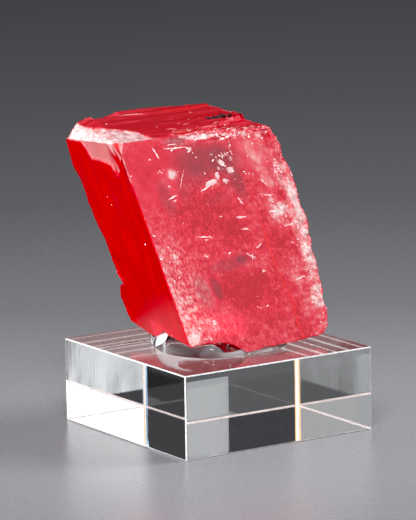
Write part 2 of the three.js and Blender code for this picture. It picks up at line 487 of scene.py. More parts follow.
# %% Cards
def panel_material(name):
    """A material that only glows, with its tree and shader."""
    material, tree, shader = new_material(name)
    shader.inputs["Base Color"].default_value = (0, 0, 0, 1)
    shader.inputs["Specular IOR Level"].default_value = 0.0
    shader.inputs["Emission Strength"].default_value = 1.0
    return material, tree, shader


def glow(brightness):
    """A slightly cool grey of some brightness."""
    return (brightness, brightness * 1.03, brightness * 1.06, 1)


def one_sided(material):
    """Leaves a panel's back clear, so that only its front glows."""
    tree = material.node_tree
    behind = add(tree, "ShaderNodeNewGeometry").outputs["Backfacing"]
    clear = add(tree, "ShaderNodeBsdfTransparent")
    choice = add(tree, "ShaderNodeMixShader")
    tree.links.new(behind, choice.inputs[0])
    tree.links.new(tree.nodes["Principled BSDF"].outputs[0], choice.inputs[1])
    tree.links.new(clear.outputs[0], choice.inputs[2])
    tree.links.new(choice.outputs[0], tree.nodes["Material Output"].inputs["Surface"])


def panel(name, corners, material, seen_by):
    """A small panel near the block. Only one kind of ray shows it."""
    made = mesh_object(name, [Vector(corner) * MM for corner in corners], [(0, 1, 2, 3)], material)
    for ray in ("camera", "diffuse", "glossy", "transmission", "shadow", "volume_scatter"):
        setattr(made, "visible_" + ray, ray == seen_by)


def card(name, corners, brightness):
    """A panel that only light through the clear pieces shows."""
    material, _, shader = panel_material(name)
    shader.inputs["Emission Color"].default_value = glow(brightness)
    one_sided(material)
    panel(name, corners, material, "transmission")


def upright(x0, y0, x1, y1, top, foot=0.0):
    """The corners of an upright panel, in millimetres."""
    return [(x0, y0, foot), (x1, y1, foot), (x1, y1, top), (x0, y0, top)]


def level(x0, y0, x1, y1, z):
    """The corners of a panel that lies flat, in millimetres."""
    return [(x0, y0, z), (x1, y0, z), (x1, y1, z), (x0, y1, z)]


# A painted patch of light behind the block, a painted shadow beside it and a painted highlight in the gel.
card("card_light", upright(-4.4, 26.5, 7.0, 26.5, 9.1), 0.38)
card("card_dark", upright(31.0, 34.0, 31.0, 16.0, 14.0), 0.040)
card("card_gel", upright(-17.5, 7.0, 1.0, -5.5, 25.5, 19.1), 1.2)
print("upright cards: 3")

# %% [markdown]
# ## Cards that lie beside and behind the block
#
# The lower half of each side of the block looks down, through its far side, at what lies on the
# table. Two cards lie there. Each is bright and streaked on one part, a painted patch of light, and
# dark on the other, a painted shadow. Each could be two cards, but one card with a border across it has
# no gap. The streaks are noise that a Mapping node stretches along one direction.


# %% Two-part cards
STREAK_TURN = math.radians(33.4)
STREAK_STRETCH = 60
BORDER_SOFTNESS = 0.5


def two_part_card(name, corners, axis, border, bright, dark, streak):
    """A card on the floor: streaked painted light on one side of a line, painted shadow on the other."""
    material, tree, shader = panel_material(name)
    place = object_place(tree)
    turned = add(
        tree,
        "ShaderNodeMapping",
        {"vector_type": "TEXTURE"},
        Vector=place,
        Rotation=(0, 0, STREAK_TURN),
        Scale=(1, STREAK_STRETCH, 1),
    )
    lines = grain(tree, turned.outputs[0], 900.0, 3.0, 0.36, 0.62, 0.65)
    streaked = mix_colour(tree, lines["Share"], glow(streak), glow(bright))
    along = add(tree, "ShaderNodeSeparateXYZ", Vector=place).outputs[axis]
    # The dark side of the border is painted shadow.
    painted_shadow_part = ranged(tree, along, (border - BORDER_SOFTNESS) * MM, (border + BORDER_SOFTNESS) * MM)
    tree.links.new(mix_colour(tree, painted_shadow_part, streaked, glow(dark)), shader.inputs["Emission Color"])
    one_sided(material)
    panel(name, corners, material, "transmission")


BESIDE = [(25.2, -9, 0.1), (62, -66, 0.1), (62, 40, 0.1), (25.2, 25, 0.1)]
BEHIND = level(-60, 25.2, 70, 120, 0.1)
# Each card is a painted patch of light on its bright part and a painted shadow on its dark part.
two_part_card("card_beside", BESIDE, "Y", border=10.0, bright=0.88, dark=0.045, streak=0.55)
two_part_card("card_behind", BEHIND, "X", border=9.0, bright=0.30, dark=0.105, streak=0.20)
print("cards on the table: 2")

# %% [markdown]
# ## The card under the block
#
# Through its top, the block shows pale lines and a red reflection of the crystal above. They could
# come from many small cards. One card under the block holds them all as painted light: three lines
# along one direction and two along the other, a bright pool under the gel, and a base that is redder in
# front, a painted reflection of the crystal. Each line is a Map Range of the distance from its middle.

# %% Striped card under the block
# Painted light under the block: pale lines, a bright pool under the gel, a red reflection of the crystal.
# Each line's middle and half width in millimetres.
UNDER_LINES = {"Y": ((12.7, 0.5), (18.2, 0.9), (22.6, 0.8)), "X": ((17.5, 0.6), (21.5, 0.9))}
LINE_CORE = 0.1
POOL_CENTRE = (-1.0 * MM, 5.0 * MM, 0)
PAINTED_RED_REFLECTION = (0.38, 0.15, 0.16, 1)
GREY_BEHIND = (0.56, 0.42, 0.43, 1)
LINE_WHITE = (1.15, 1.0, 0.98, 1)

under, under_tree, under_shader = panel_material("card_under")
place = object_place(under_tree)
parts = add(under_tree, "ShaderNodeSeparateXYZ", Vector=place)
to_gel = vector_node(under_tree, "DISTANCE", place, POOL_CENTRE).outputs["Value"]
bright = ranged(under_tree, to_gel, 6.0 * MM, 2.0 * MM)
for axis, lines in UNDER_LINES.items():
    for centre, half_width in lines:
        gap = math_node(under_tree, "SUBTRACT", parts.outputs[axis], centre * MM)
        gap = math_node(under_tree, "ABSOLUTE", gap)
        line = ranged(under_tree, gap, half_width * MM, LINE_CORE * half_width * MM)
        bright = math_node(under_tree, "MAXIMUM", bright, line)
far_part = ranged(under_tree, parts.outputs["Y"], 6.0 * MM, 14.0 * MM)
base = mix_colour(under_tree, far_part, PAINTED_RED_REFLECTION, GREY_BEHIND)
striped = mix_colour(under_tree, bright, base, LINE_WHITE)
under_tree.links.new(striped, under_shader.inputs["Emission Color"])
one_sided(under)
panel("card_under", level(-25, -25, 25, 25, -0.02), under, "transmission")
print("lines under the block:", sum(len(lines) for lines in UNDER_LINES.values()))

# %% [markdown]
# ## The black flag
#
# The crystal's left face is smooth, leans outwards and looks down at the floor behind, whose
# reflection would turn its deep red pink. A sheet of black, which only reflections see, lies there.

# %% Black flag
flag, _, flag_shader = panel_material("flag_black")
flag_shader.inputs["Emission Strength"].default_value = 0.0
one_sided(flag)
panel("flag_black", level(-75, 40, 5, 330, 0.1), flag, "glossy")
print("flag in mm: 80 x 290")

# %% [markdown]
# ## Polished acrylic
#
# The block is sawn from cast sheet and polished until it is clear. A glass shader does it: full
# transmission, an index of refraction of 1.49 and no roughness. Perfectly smooth sides would look
# computed, so the milling is kept, as noise that is drawn out along the height and felt only by a
# faint bump.

# %% Acrylic
ACRYLIC_IOR = 1.49
MILLING_STRETCH = 0.02

acrylic, acrylic_tree, acrylic_shader = new_material("clear_acrylic_polished")
acrylic_shader.inputs["Base Color"].default_value = (1, 1, 1, 1)
acrylic_shader.inputs["Transmission Weight"].default_value = 1.0
acrylic_shader.inputs["IOR"].default_value = ACRYLIC_IOR
acrylic_shader.inputs["Roughness"].default_value = 0.0
drawn_down = add(
    acrylic_tree,
    "ShaderNodeMapping",
    Vector=object_place(acrylic_tree),
    Scale=(1.0, 1.0, MILLING_STRETCH),
)
streaks = grain(acrylic_tree, drawn_down.outputs[0], 1400.0, 3.0, 0.35, 0.65)
milling = add(acrylic_tree, "ShaderNodeBump", Height=streaks["Noise"], Strength=0.10, Distance=0.0001)
acrylic_tree.links.new(milling.outputs["Normal"], acrylic_shader.inputs["Normal"])
print("acrylic IOR:", ACRYLIC_IOR)

# %% [markdown]
# ## Scraped edges
#
# Each edge of such a block is broken with a scraper, which leaves a narrow frosted strip. The strip
# gathers the light that runs inside the sheet, so it looks brighter than the faces, and the far
# upright edge splits it into a warm and a cool line. Tracing that light would take caustics and many
# samples. Here the strip is half frosted, its warm and cool lines are painted fringes set face by
# face, and the far edges have a painted glow.

# %% Frosted edges
frosted, frosted_tree, frosted_shader = new_material("clear_acrylic_scraped_edge")
frosted_shader.inputs["Transmission Weight"].default_value = 0.45
frosted_shader.inputs["IOR"].default_value = ACRYLIC_IOR
frosted_shader.inputs["Roughness"].default_value = 0.35
scraped = grain(frosted_tree, object_place(frosted_tree), 2500.0, 3.0, 0.3, 0.7)
shade = ranged(frosted_tree, scraped["Noise"], 0.3, 0.7, 0.6, 1.0)
# The base colour carries the painted warm and cool fringes of the far upright edge.
painted_fringe_mark = add(frosted_tree, "ShaderNodeAttribute", {"attribute_name": "edge_tint"}).outputs["Color"]
tinted = mix_colour(frosted_tree, 1.0, painted_fringe_mark, shade, "MULTIPLY")
frosted_tree.links.new(tinted, frosted_shader.inputs["Base Color"])
# The emission is a painted glow on the far edges.
painted_glow_mark = add(frosted_tree, "ShaderNodeAttribute", {"attribute_name": "edge_glow"}).outputs["Color"]
frosted_tree.links.new(painted_glow_mark, frosted_shader.inputs["Emission Color"])
frosted_shader.inputs["Emission Strength"].default_value = 1.0
print("edge roughness:", frosted_shader.inputs["Roughness"].default_value)

# %% [markdown]
# ## The shape of the block
#
# The block could be a cube with a Bevel modifier. But its sides carry a ripple of a few thousandths
# of a millimetre at most from the cutter, which bends what shows through them, and its edges have small
# nicks. So it is built as rings of places, one above the other: round each ring run four sides and
# four rounded corners, and the lowest and highest rings step in as the edge breaks do.

# %% Ripple, nicks and rings
COLUMNS = 150
MID_RINGS = 12
EDGE_BREAK = 0.26 * MM
CORNER_BREAK = (0.26 * MM, 0.26 * MM, 0.75 * MM, 0.26 * MM)
FAR_CORNER = CORNER_BREAK[2]
ARC = (0, 30, 60, 90)
GUARD = 0.45 * MM
NICK_DEPTH = 0.35 * EDGE_BREAK
SIDES = ("front", "right", "back", "left")
RIPPLE = {"front": 0.0003 * MM, "right": 0.0016 * MM, "back": 0.0009 * MM, "left": 0.0003 * MM}
RIPPLE_SEED = {"front": 0, "right": 31, "back": 57, "left": 83}


def side_ripple(side, along):
    """How far a milled side stands in from its plane, at a place along it."""
    seed = RIPPLE_SEED[side]
    coarse = noise.noise((along * 0.45 / MM, seed, 0))
    fine = noise.noise((along * 1.6 / MM, seed, 7))
    return RIPPLE[side] * (2 + coarse + 0.6 * fine)


def nick(place, seed):
    """A small chip out of a sharp edge, as a length, nothing along most of it."""
    rough = noise.noise(place / (0.8 * MM) + Vector((seed, 0, 0)))
    return NICK_DEPTH * max(0.0, rough - 0.22) / 0.4


def block_levels(low_z, high_z):
    """Each ring's height, how far in it lies, and how much it is chipped."""
    lower = []
    for angle in ARC:
        turn = math.radians(angle)
        lower.append((EDGE_BREAK * (1 - math.cos(turn)), EDGE_BREAK * (1 - math.sin(turn))))
    levels = [(low_z + rise, inset, 0.6) for rise, inset in lower]
    first, last = low_z + EDGE_BREAK + GUARD, high_z - EDGE_BREAK - GUARD
    for step in range(MID_RINGS + 1):
        levels.append((first + (last - first) * step / MID_RINGS, 0.0, 0.0))
    levels += [(high_z - rise, inset, 0.0) for rise, inset in reversed(lower)]
    return levels


def side_places(number, start, end, z, inset, chipped):
    """The places along one side in one ring."""
    along = (end - start).normalized()
    inward = Vector((-along.y, along.x, 0))
    length = (end - start).length
    first, last = CORNER_BREAK[number], CORNER_BREAK[(number + 1) % 4]
    places = []
    for step in range(COLUMNS + 1):
        travel = first + (length - first - last) * step / COLUMNS
        near_corner = min(travel, length - travel)
        ripple = side_ripple(SIDES[number], travel) * smoothstep(0.4 * MM, 1.5 * MM, near_corner)
        place = start + along * travel + inward * (inset + ripple)
        place.z = z
        places.append(place + inward * nick(place, 3.0 * number) * chipped)
    return places


def corner_places(number, start, end, z, inset):
    """The places round the corner at a side's end in one ring."""
    along = (end - start).normalized()
    inward = Vector((-along.y, along.x, 0))
    radius = CORNER_BREAK[(number + 1) % 4]
    centre = end - along * radius + inward * radius
    places = []
    for angle in ARC[1:-1]:
        turn = math.radians(angle)
        outward = along * math.sin(turn) - inward * math.cos(turn)
        place = centre + outward * (radius - inset)
        place.z = z
        places.append(place - outward * nick(place, 50.0) * (1.0 if inset < EDGE_BREAK else 0.0))
    return places


print("places in a ring:", 4 * (COLUMNS + 1 + len(ARC) - 2))

# %% Painted fringes and glow of the scraped edges
PLAIN = (1, 1, 1, 1)
# Painted fringes and glows, standing in for the light that the edges split and gather.
PAINTED_WARM_FRINGE = (1.0, 0.62, 0.30, 1)
PAINTED_COOL_FRINGE = (0.45, 0.72, 1.0, 1)
PAINTED_FOOT_GLOW = (0.50, 0.42, 0.40, 1)
PAINTED_CORNER_GLOW = 0.95
NO_GLOW = (0, 0, 0, 1)


def edge_tint(face, high):
    """Painted fringes for the light that the far upright edge splits: warm on one side, cool on the other.
    """
    centre, normal = face.center, face.normal
    if centre.x < high.x - 1.5 * FAR_CORNER or centre.y < high.y - 1.5 * FAR_CORNER:
        return PLAIN
    if abs(normal.z) > 0.3 or max(normal.x, normal.y) > 0.995:
        return PLAIN
    if normal.y > 0.9:
        return PAINTED_WARM_FRINGE
    return PAINTED_COOL_FRINGE if normal.x > 0.9 else PLAIN


def edge_glow(face, low, high):
    """A painted glow for the light that the far edges gather."""
    centre, normal = face.center, face.normal
    gaps = (high.x - centre.x, high.y - centre.y)
    on_far_side = min(gaps) < FAR_CORNER
    if on_far_side and max(gaps) < FAR_CORNER and abs(normal.z) < 0.3:
        return (*(PAINTED_CORNER_GLOW * value for value in edge_tint(face, high)[:3]), 1)
    at_foot = -0.99 < normal.z < -0.1 and centre.z < low.z + EDGE_BREAK
    return PAINTED_FOOT_GLOW if at_foot and on_far_side else NO_GLOW


def crease_between_materials(mesh):
    """The polished flats stay flat up to the scraped edges."""
    kinds = {}
    for face in mesh.polygons:
        for key in face.edge_keys:
            kinds.setdefault(key, set()).add(face.material_index)
    sharp = mesh.attributes.get("sharp_edge") or mesh.attributes.new("sharp_edge", "BOOLEAN", "EDGE")
    for edge in mesh.edges:
        if len(kinds.get(edge.key, ())) > 1:
            sharp.data[edge.index].value = True


# %% Build the block
def build_block(low, high):
    """The block as stacked rings, with its scraped edges in a material of their own."""
    outline = ((low.x, low.y), (high.x, low.y), (high.x, high.y), (low.x, high.y))
    corners = [Vector((x, y, 0)) for x, y in outline]
    levels = block_levels(low.z, high.z)
    verts, on_corner = [], []
    for z, inset, chipped in levels:
        for number, start in enumerate(corners):
            end = corners[(number + 1) % 4]
            straight = side_places(number, start, end, z, inset, chipped)
            rounded = corner_places(number, start, end, z, inset)
            verts += straight + rounded
            on_corner += [False] * len(straight) + [True] * len(rounded)
    ring = len(verts) // len(levels)
    faces, scraped = [tuple(reversed(range(ring)))], [False]
    for number in range(len(levels) - 1):
        in_break = number < len(ARC) - 1 or number >= len(levels) - len(ARC)
        for step in range(ring):
            following = (step + 1) % ring
            first, second = number * ring, (number + 1) * ring
            faces.append((first + step, first + following, second + following, second + step))
            scraped.append(in_break or on_corner[step] or on_corner[following])
    faces.append(tuple(range((len(levels) - 1) * ring, len(levels) * ring)))
    scraped.append(False)
    made = mesh_object("acrylic_block_polished", verts, faces, acrylic, 40)
    made.data.materials.append(frosted)
    made.data.polygons.foreach_set("material_index", [int(value) for value in scraped])
    return made


block = build_block(block_low, block_high)
# Painted light on the scraped edges: warm and cool fringes, and a glow on the far edges.
painted_fringes = [edge_tint(face, block_high) for face in block.data.polygons]
paint(block.data, "edge_tint", "FLOAT_COLOR", painted_fringes, "FACE")
# A painted glow on the far edges and along their foot.
painted_glows = [edge_glow(face, block_low, block_high) for face in block.data.polygons]
paint(block.data, "edge_glow", "FLOAT_COLOR", painted_glows, "FACE")
crease_between_materials(block.data)
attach(block, "root")
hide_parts("acrylic_block")
print("block faces:", len(block.data.polygons))

# %% [markdown]
# ## The crystal as small cells
#
# The CAD solid has the crystal's true size and its large breaks, with a few hundred triangles. Its
# steps and chips need many more, spread evenly. Subdivision would round its edges, and a voxel remesh
# would cut stairs into faces that lie askew to its grid. So the solid is first turned into the
# rhomb's own frame, where its three main faces lie along the grid, and a sharp remesh cuts it there.

# %% Remesh the crystal along its cleavage
REMESH_DEPTH = 7
REMESH_SHARE = 0.99


def cleavage_mesh():
    """The CAD solid as small even cells, with every sharp edge kept."""
    straight = crystal_solid.copy()
    straight.transform(rhomb_inverse)
    mesh = bpy.data.meshes.new("rhomb_straight")
    straight.to_mesh(mesh)
    straight.free()
    holder = bpy.data.objects.new("rhomb_straight", mesh)
    scene.collection.objects.link(holder)
    remesh = holder.modifiers.new("cells", "REMESH")
    remesh.mode = "SHARP"
    remesh.octree_depth = REMESH_DEPTH
    remesh.scale = REMESH_SHARE
    remesh.sharpness = 1.0
    evaluated = holder.evaluated_get(bpy.context.evaluated_depsgraph_get())
    cells = bpy.data.meshes.new_from_object(evaluated)
    bpy.data.objects.remove(holder)
    return cells


cells = cleavage_mesh()
print("cells:", len(cells.polygons))


# %% [markdown]
# ## Fields
#
# Sculpting by code means asking, for each place on a face, how deep or how pale it is. The answers
# are sums of a few kinds of field: soft noise, noise cut into level treads for cleavage steps, oval
# spots, and lines through a few points. Places are given in millimetres along the rhomb's edges:
# across is u, down is v and back is w.


# %% Fields
def fbm(place, seed, octaves=3):
    """Soft noise about 0, of a few sizes at once."""
    total, size, share = 0.0, 1.0, 1.0
    for _ in range(octaves):
        total += share * noise.noise(place * size + Vector((seed, seed * 0.7, 0)))
        size *= 2.1
        share *= 0.5
    return total


def terrace(value, step):
    """A value cut into level treads with short risers."""
    floor_level = math.floor(value / step)
    share = value / step - floor_level
    return step * (floor_level + smoothstep(0.82, 1.0, share))


def spot(u, v, centre, size, turn=0.0):
    """1 in the middle of a soft oval spot on a face and 0 outside it."""
    du, dv = u - centre[0], v - centre[1]
    angle = math.radians(turn)
    along = du * math.cos(angle) + dv * math.sin(angle)
    aside = -du * math.sin(angle) + dv * math.cos(angle)
    distance = math.hypot(along / size[0], aside / size[1])
    return smoothstep(1.15, 0.35, distance) if distance < 1.15 else 0.0


def vein_line(v):
    """How far across the bright vein runs, at a height."""
    return 30.3 + 0.035 * (v - 15) + 0.25 * math.sin(v * 0.35)


def along_points(points, value):
    """The height of a line through a few points."""
    for (x0, y0), (x1, y1) in zip(points, points[1:]):
        if value <= x1:
            return y0 + (y1 - y0) * (value - x0) / (x1 - x0)
    return points[-1][1]


print("noise at the corner:", round(fbm(Vector((0.3, 0.2, 0.1)), 1), 3))

# %% [markdown]
# ## Sculpting the faces
#
# Rhodochrosite breaks along three directions, and no two faces of this piece broke alike. The front
# is nearly flat, with a crumbled lip and a ragged right edge. The top is a stair of long, thin steps.
# The left face is smooth and faintly lined, with a scar low down and a shallow recess at its top. The
# break between them has ridges and small hollows, and the right side is rough. Displacement maps
# could do it, but an edge shared by two maps tears. Instead each vertex asks how far it looks to each
# side, and moves in by that mixture of depths.


# %% Which side a cell is on
def facing(normal):
    """How much a cell looks to each side of the rhomb."""
    return {
        "front": smoothstep(0.72, 0.92, -normal.z),
        "left": smoothstep(0.72, 0.92, -normal.x),
        "top": smoothstep(0.72, 0.92, -normal.y),
        "right": smoothstep(0.6, 0.85, normal.x),
        "back": smoothstep(0.72, 0.92, normal.z),
        "under": smoothstep(0.72, 0.92, normal.y),
    }


# %% Depth of the front
def front_depth(u, v):
    """Nearly flat, with a crumbled lip at the top, the vein's groove and a ragged right edge."""
    place = Vector((u, v, 0))
    depth = 0.05 + 0.10 * fbm(place * 0.10, 3)
    depth += 0.035 * fbm(place * 0.9, 5, 2)
    depth += 0.10 * smoothstep(33, 35.5, u + 0.8 * fbm(place * 0.2, 9))
    depth += 0.12 * smoothstep(0.5, 0.0, abs(u - vein_line(v))) * smoothstep(14, 20, v)
    lip = smoothstep(5.5, 0.5, v + 1.2 * fbm(place * 0.5, 12)) * smoothstep(15, 19, u)
    depth += lip * 0.45 * (0.5 + fbm(place * Vector((0.35, 1.0, 0)).length, 14))
    rag = smoothstep(36, 43, u) * (0.4 + fbm(place * 0.55, 21))
    depth += 0.5 * max(0.0, rag)
    return max(0.0, depth)


print("front depth in the middle, mm:", round(front_depth(20, 25), 2))

# %% Depth of the top
# How far across the top begins, by how far back it is.
TOP_EDGE = [
    (-5, 10),
    (0.5, 10),
    (8.6, 9.4),
    (13.3, 7.0),
    (16.6, 5.1),
    (20.4, 3.3),
    (26, 2.4),
    (34, 1.6),
    (60, 0.8),
]


def top_depth(u, w):
    """Long thin steps, with a crumbled corner in front."""
    sway = 0.35 * fbm(Vector((u * 0.05, w * 0.3, 4)), 2)
    ridge = noise.noise((w * 0.30 + sway, u * 0.018, 31))
    fine = noise.noise((w * 1.3 + sway, u * 0.05, 37))
    depth = 0.10 + terrace(0.40 * (ridge + 0.6), 0.14) + 0.03 * fine
    past_edge = smoothstep(0.3, -0.3, u - along_points(TOP_EDGE, w))
    depth += 0.30 * past_edge * (1 + fbm(Vector((u, w, 0)) * 0.6, 33))
    crumble = smoothstep(15, 19, u) * smoothstep(11, 3, w)
    depth += crumble * 0.45 * max(0.0, fbm(Vector((u * 0.5, w * 0.9, 2)), 44) + 0.2)
    return max(0.0, depth)


print("top depth in the middle, mm:", round(top_depth(22, 16), 2))

# %% Depth of the left face and the break
# How far down the break reaches on the left face, by how far back it is.
BREAK_EDGE = [
    (0, 3.4),
    (3.5, 5.4),
    (6.8, 9.3),
    (9.5, 7.1),
    (15, 7.0),
    (20.6, 7.6),
    (21.6, 6.0),
    (24, 4.2),
    (36, 5.2),
]


def below_break(w, v):
    """How far below the break's lower edge a place on the left face is."""
    return v - along_points(BREAK_EDGE, w) + 0.35 * noise.noise((w * 0.9, v * 0.9, 47))


def break_ridge(place):
    """Ridges that run down and forward over the break."""
    u, v, w = place
    return noise.noise((0.62 * (v + 1.7 * w) * 0.45, 0.08 * (w - 1.7 * v), 0.5 * u + 20))


def left_depth(w, v):
    """Faint lines, a scar low at the back, and a shallow recess under the break."""
    stria = noise.noise((w * 0.8, v * 0.035, 51))
    broad = noise.noise((w * 0.10, v * 0.07, 53))
    depth = 0.06 + 0.022 * stria + 0.05 * broad
    depth += 0.20 * smoothstep(31, 33, v - 0.25 * (w - 24)) * smoothstep(12, 26, w)
    scar = spot(w, v, (28.6, 36.4), (4.6, 4.2), 40)
    depth += scar * (0.30 + 0.35 * fbm(Vector((w * 0.35, v * 0.35, 3)), 55))
    recess = smoothstep(0.25, -0.25, below_break(w, v))
    ridges = 0.30 * abs(break_ridge(Vector((0, v, w)))) * smoothstep(12, 8, w)
    depth += recess * (0.40 + ridges)
    return max(0.0, depth)


def break_depth(place):
    """The break itself: sharp ridges and small conchoidal hollows."""
    ridge = abs(break_ridge(place)) * 2.2
    hollow = abs(fbm(place * 0.5, 63, 3))
    return 0.10 + 0.33 * ridge + 0.35 * hollow + terrace(0.25 * (1 + fbm(place * 0.9, 65, 2)), 0.12)


def rough_depth(place, size):
    """A broken surface of small treads, about a size deep."""
    rough = fbm(place * 0.32, 61)
    return size * (0.5 + terrace(0.9 * rough + 0.6, 0.3) + 0.25 * fbm(place * 1.1, 67, 2))


print("break depth at its front, mm:", round(break_depth(Vector((5, 4, 5))), 2))


# %% Sculpt
def sculpt_depth(place, normal):
    """How far inwards a place on the plain rhomb moves, in millimetres, and the sides it is on."""
    u, v, w = place
    side = facing(normal)
    known = max(side.values())
    depth = side["front"] * front_depth(u, v)
    depth += side["top"] * top_depth(u, w)
    depth += side["left"] * left_depth(w, v)
    depth += side["right"] * max(0.0, rough_depth(place, 0.55))
    depth += side["back"] * max(0.0, rough_depth(place, 0.18))
    depth += side["under"] * max(0.0, rough_depth(place, 0.22))
    loose = 1 - known
    on_break = smoothstep(10.0, 8.0, v) * smoothstep(10.5, 8.5, u)
    depth += loose * on_break * break_depth(place)
    depth += loose * (1 - on_break) * max(0.0, rough_depth(place, 0.30))
    return depth, side


cell_mesh = bmesh.new()
cell_mesh.from_mesh(cells)
cell_mesh.normal_update()
moves = []
marks = []
for vert in cell_mesh.verts:
    place = vert.co / MM
    depth, side = sculpt_depth(place, vert.normal)
    edge = max((e.calc_face_angle(0.0) for e in vert.link_edges), default=0.0)
    on_edge = smoothstep(0.35, 0.9, edge)
    wear = on_edge * (0.05 + 0.22 * max(0.0, fbm(place * 0.8, 71)))
    moves.append(-vert.normal * (depth + wear) * MM)
    marks.append((place.copy(), side, on_edge))
for vert, move in zip(cell_mesh.verts, moves):
    vert.co += move
print("deepest sculpt in mm:", round(max(move.length for move in moves) / MM, 2))


# %% [markdown]
# ## Marks on the crystal
#
# The front face is bruised: a whitish veil of tiny cleavage cracks lies over it, thick along the right
# edge and the lower left, and thin over a few clear, smoky places, whose grey is painted shade. White
# specks show where flakes have lifted, and the break at the top left is crushed nearly white. On the
# top, a darker red is painted shade and one pale streak is a painted highlight. These marks could be
# one painted picture. Here each kind is an amount at each vertex, the sum of a few soft spots in
# millimetres on the face and of noise between them, so that each can be moved or turned down alone.

# %% Haze on the front, and smoke with painted shade
HAZE_SPOTS = [
    # (across, down), (half width, half height), turn in degrees, strength
    ((11.6, 8.8), (1.7, 1.4), 0, 0.75),
    ((4.5, 33.0), (5.5, 12.0), 0, 0.14),
    ((15.5, 1.6), (4.5, 1.7), 0, 0.30),
    ((35.4, 9.5), (1.8, 6.5), -18, 0.22),
    ((36.8, 20.9), (3.0, 3.2), 10, 0.30),
    ((40.3, 31.5), (2.2, 3.6), 0, 0.30),
    ((38.9, 41.5), (2.2, 4.2), 0, 0.34),
    ((12.5, 28.1), (1.6, 1.4), 0, 0.22),
    ((25.0, 32.0), (3.5, 2.0), 0, 0.12),
    ((8.6, 43.9), (4.0, 2.6), 0, 0.18),
    ((2.0, 46.6), (2.6, 2.6), 0, 0.28),
    ((41.0, 4.0), (2.4, 2.8), 0, -0.30),
    ((39.5, 17.4), (1.5, 1.3), 0, -0.45),
    ((17.5, 19.0), (9.5, 6.0), 0, -0.24),
    ((23.5, 24.5), (6.5, 3.5), 0, -0.20),
    ((20.0, 37.0), (9.0, 5.0), 0, -0.28),
    ((26.0, 38.0), (5.0, 6.0), 0, -0.10),
    ((35.5, 27.5), (4.5, 4.5), 0, -0.24),
    ((12.5, 35.5), (1.6, 3.4), -10, -0.20),
    ((4.0, 7.0), (3.6, 6.0), 0, -0.07),
    ((9.0, 36.5), (2.6, 4.6), -8, 0.22),
    ((9.5, 11.5), (2.6, 5.5), 0, 0.08),
    ((33.5, 6.0), (5.0, 5.0), 0, 0.10),
    ((38.0, 47.0), (3.0, 3.0), 0, -0.10),
    ((27.0, 44.0), (6.0, 5.0), 0, -0.08),
]
# Clear places on the front, greyed with painted shade.
SMOKE_AND_SHADE_SPOTS = [
    ((21.0, 6.6), (9.5, 4.6), 0, 0.85),
    ((27.5, 8.5), (5.0, 7.0), 12, 0.45),
    ((17.5, 10.5), (5.0, 3.0), 0, 0.35),
    ((13.2, 12.5), (2.0, 4.5), 8, 0.35),
    ((21.5, 16.0), (5.0, 1.6), -6, 0.30),
    ((15.5, 1.7), (3.6, 1.4), 0, 0.7),
    ((7.9, 14.0), (2.2, 5.0), -5, 0.55),
    ((8.9, 36.0), (2.4, 4.6), -10, 0.42),
    ((12.6, 36.0), (1.5, 3.2), -5, 0.75),
    ((19.0, 31.0), (7.5, 1.8), -6, 0.55),
    ((28.3, 13.5), (2.2, 5.0), 0, 0.5),
    ((22.0, 30.2), (1.8, 1.2), 0, 0.5),
]


def spots_at(spots, u, v):
    """The strengths of the spots that reach a place, added up."""
    return sum(strength * spot(u, v, centre, size, turn) for centre, size, turn, strength in spots)


def front_haze(u, v):
    """The bruised, whitish veil over the front face."""
    place = Vector((u, v, 0))
    veil = 0.40 + 0.10 * fbm(place * 0.13, 81) + 0.10 * fbm(place * 0.45, 82)
    veil += 0.20 * smoothstep(8, 1, u) * smoothstep(18, 30, v)
    veil += 0.14 * smoothstep(12, 3, u) * smoothstep(34, 46, v)
    veil += 0.16 * smoothstep(32.5, 35.5, u + 0.8 * fbm(place * 0.3, 84))
    veil += 0.55 * noise.noise((u * 0.16, v * 1.9, 87)) * smoothstep(5.0, 1.0, v) * smoothstep(9, 13, u)
    veil += 0.22 * noise.noise((u * 0.30, v * 1.1, 88)) * smoothstep(8, 14, v) * smoothstep(20, 32, u)
    edge = smoothstep(37.5, 43, u + 1.8 * fbm(place * 0.3, 83)) * smoothstep(7, 13, v)
    veil += 0.30 * edge
    veil += spots_at(HAZE_SPOTS, u, v) * (0.8 + 0.6 * fbm(place * 0.7, 85))
    return min(1.0, max(0.13, veil))


def smoke_and_shade_at(u, v):
    """Clearer places on the front, where the dark shows through; their grey is painted shade."""
    return min(1.0, spots_at(SMOKE_AND_SHADE_SPOTS, u, v))


print("haze and smoke spots:", len(HAZE_SPOTS), len(SMOKE_AND_SHADE_SPOTS))


# %% The fresh break
def fresh_amount(place, side):
    """The crushed, nearly white break between the top and the left face."""
    u, v, w = place
    known = max(side.values())
    near = smoothstep(10.0, 8.0, v) * smoothstep(11.5, 9.5, u) * smoothstep(46, 38, w)
    on_break = near * (1 - known) * (0.85 + 0.5 * break_ridge(place))
    inside = smoothstep(0.4, -0.4, u - along_points(TOP_EDGE, w) + 0.6 * fbm(place * 0.6, 34))
    on_break += side["top"] * inside * (0.7 + 0.6 * fbm(place * 0.5, 35)) * smoothstep(44, 36, w)
    recess = side["left"] * smoothstep(0.2, -0.2, below_break(w, v))
    flat_patch = 0.30 * smoothstep(7.5, 9.0, w) * smoothstep(24, 21.5, w)
    ridged = 0.9 * max(0.0, 0.15 + 1.4 * break_ridge(Vector((0, v, w)))) * smoothstep(9.5, 7.5, w)
    far = 0.35 * smoothstep(21.5, 24, w)
    return on_break + recess * (flat_patch + ridged + far)


print("fresh at its front:", round(fresh_amount(Vector((5, 4, 5)), facing(Vector((-0.6, -0.6, -0.5)))), 2))

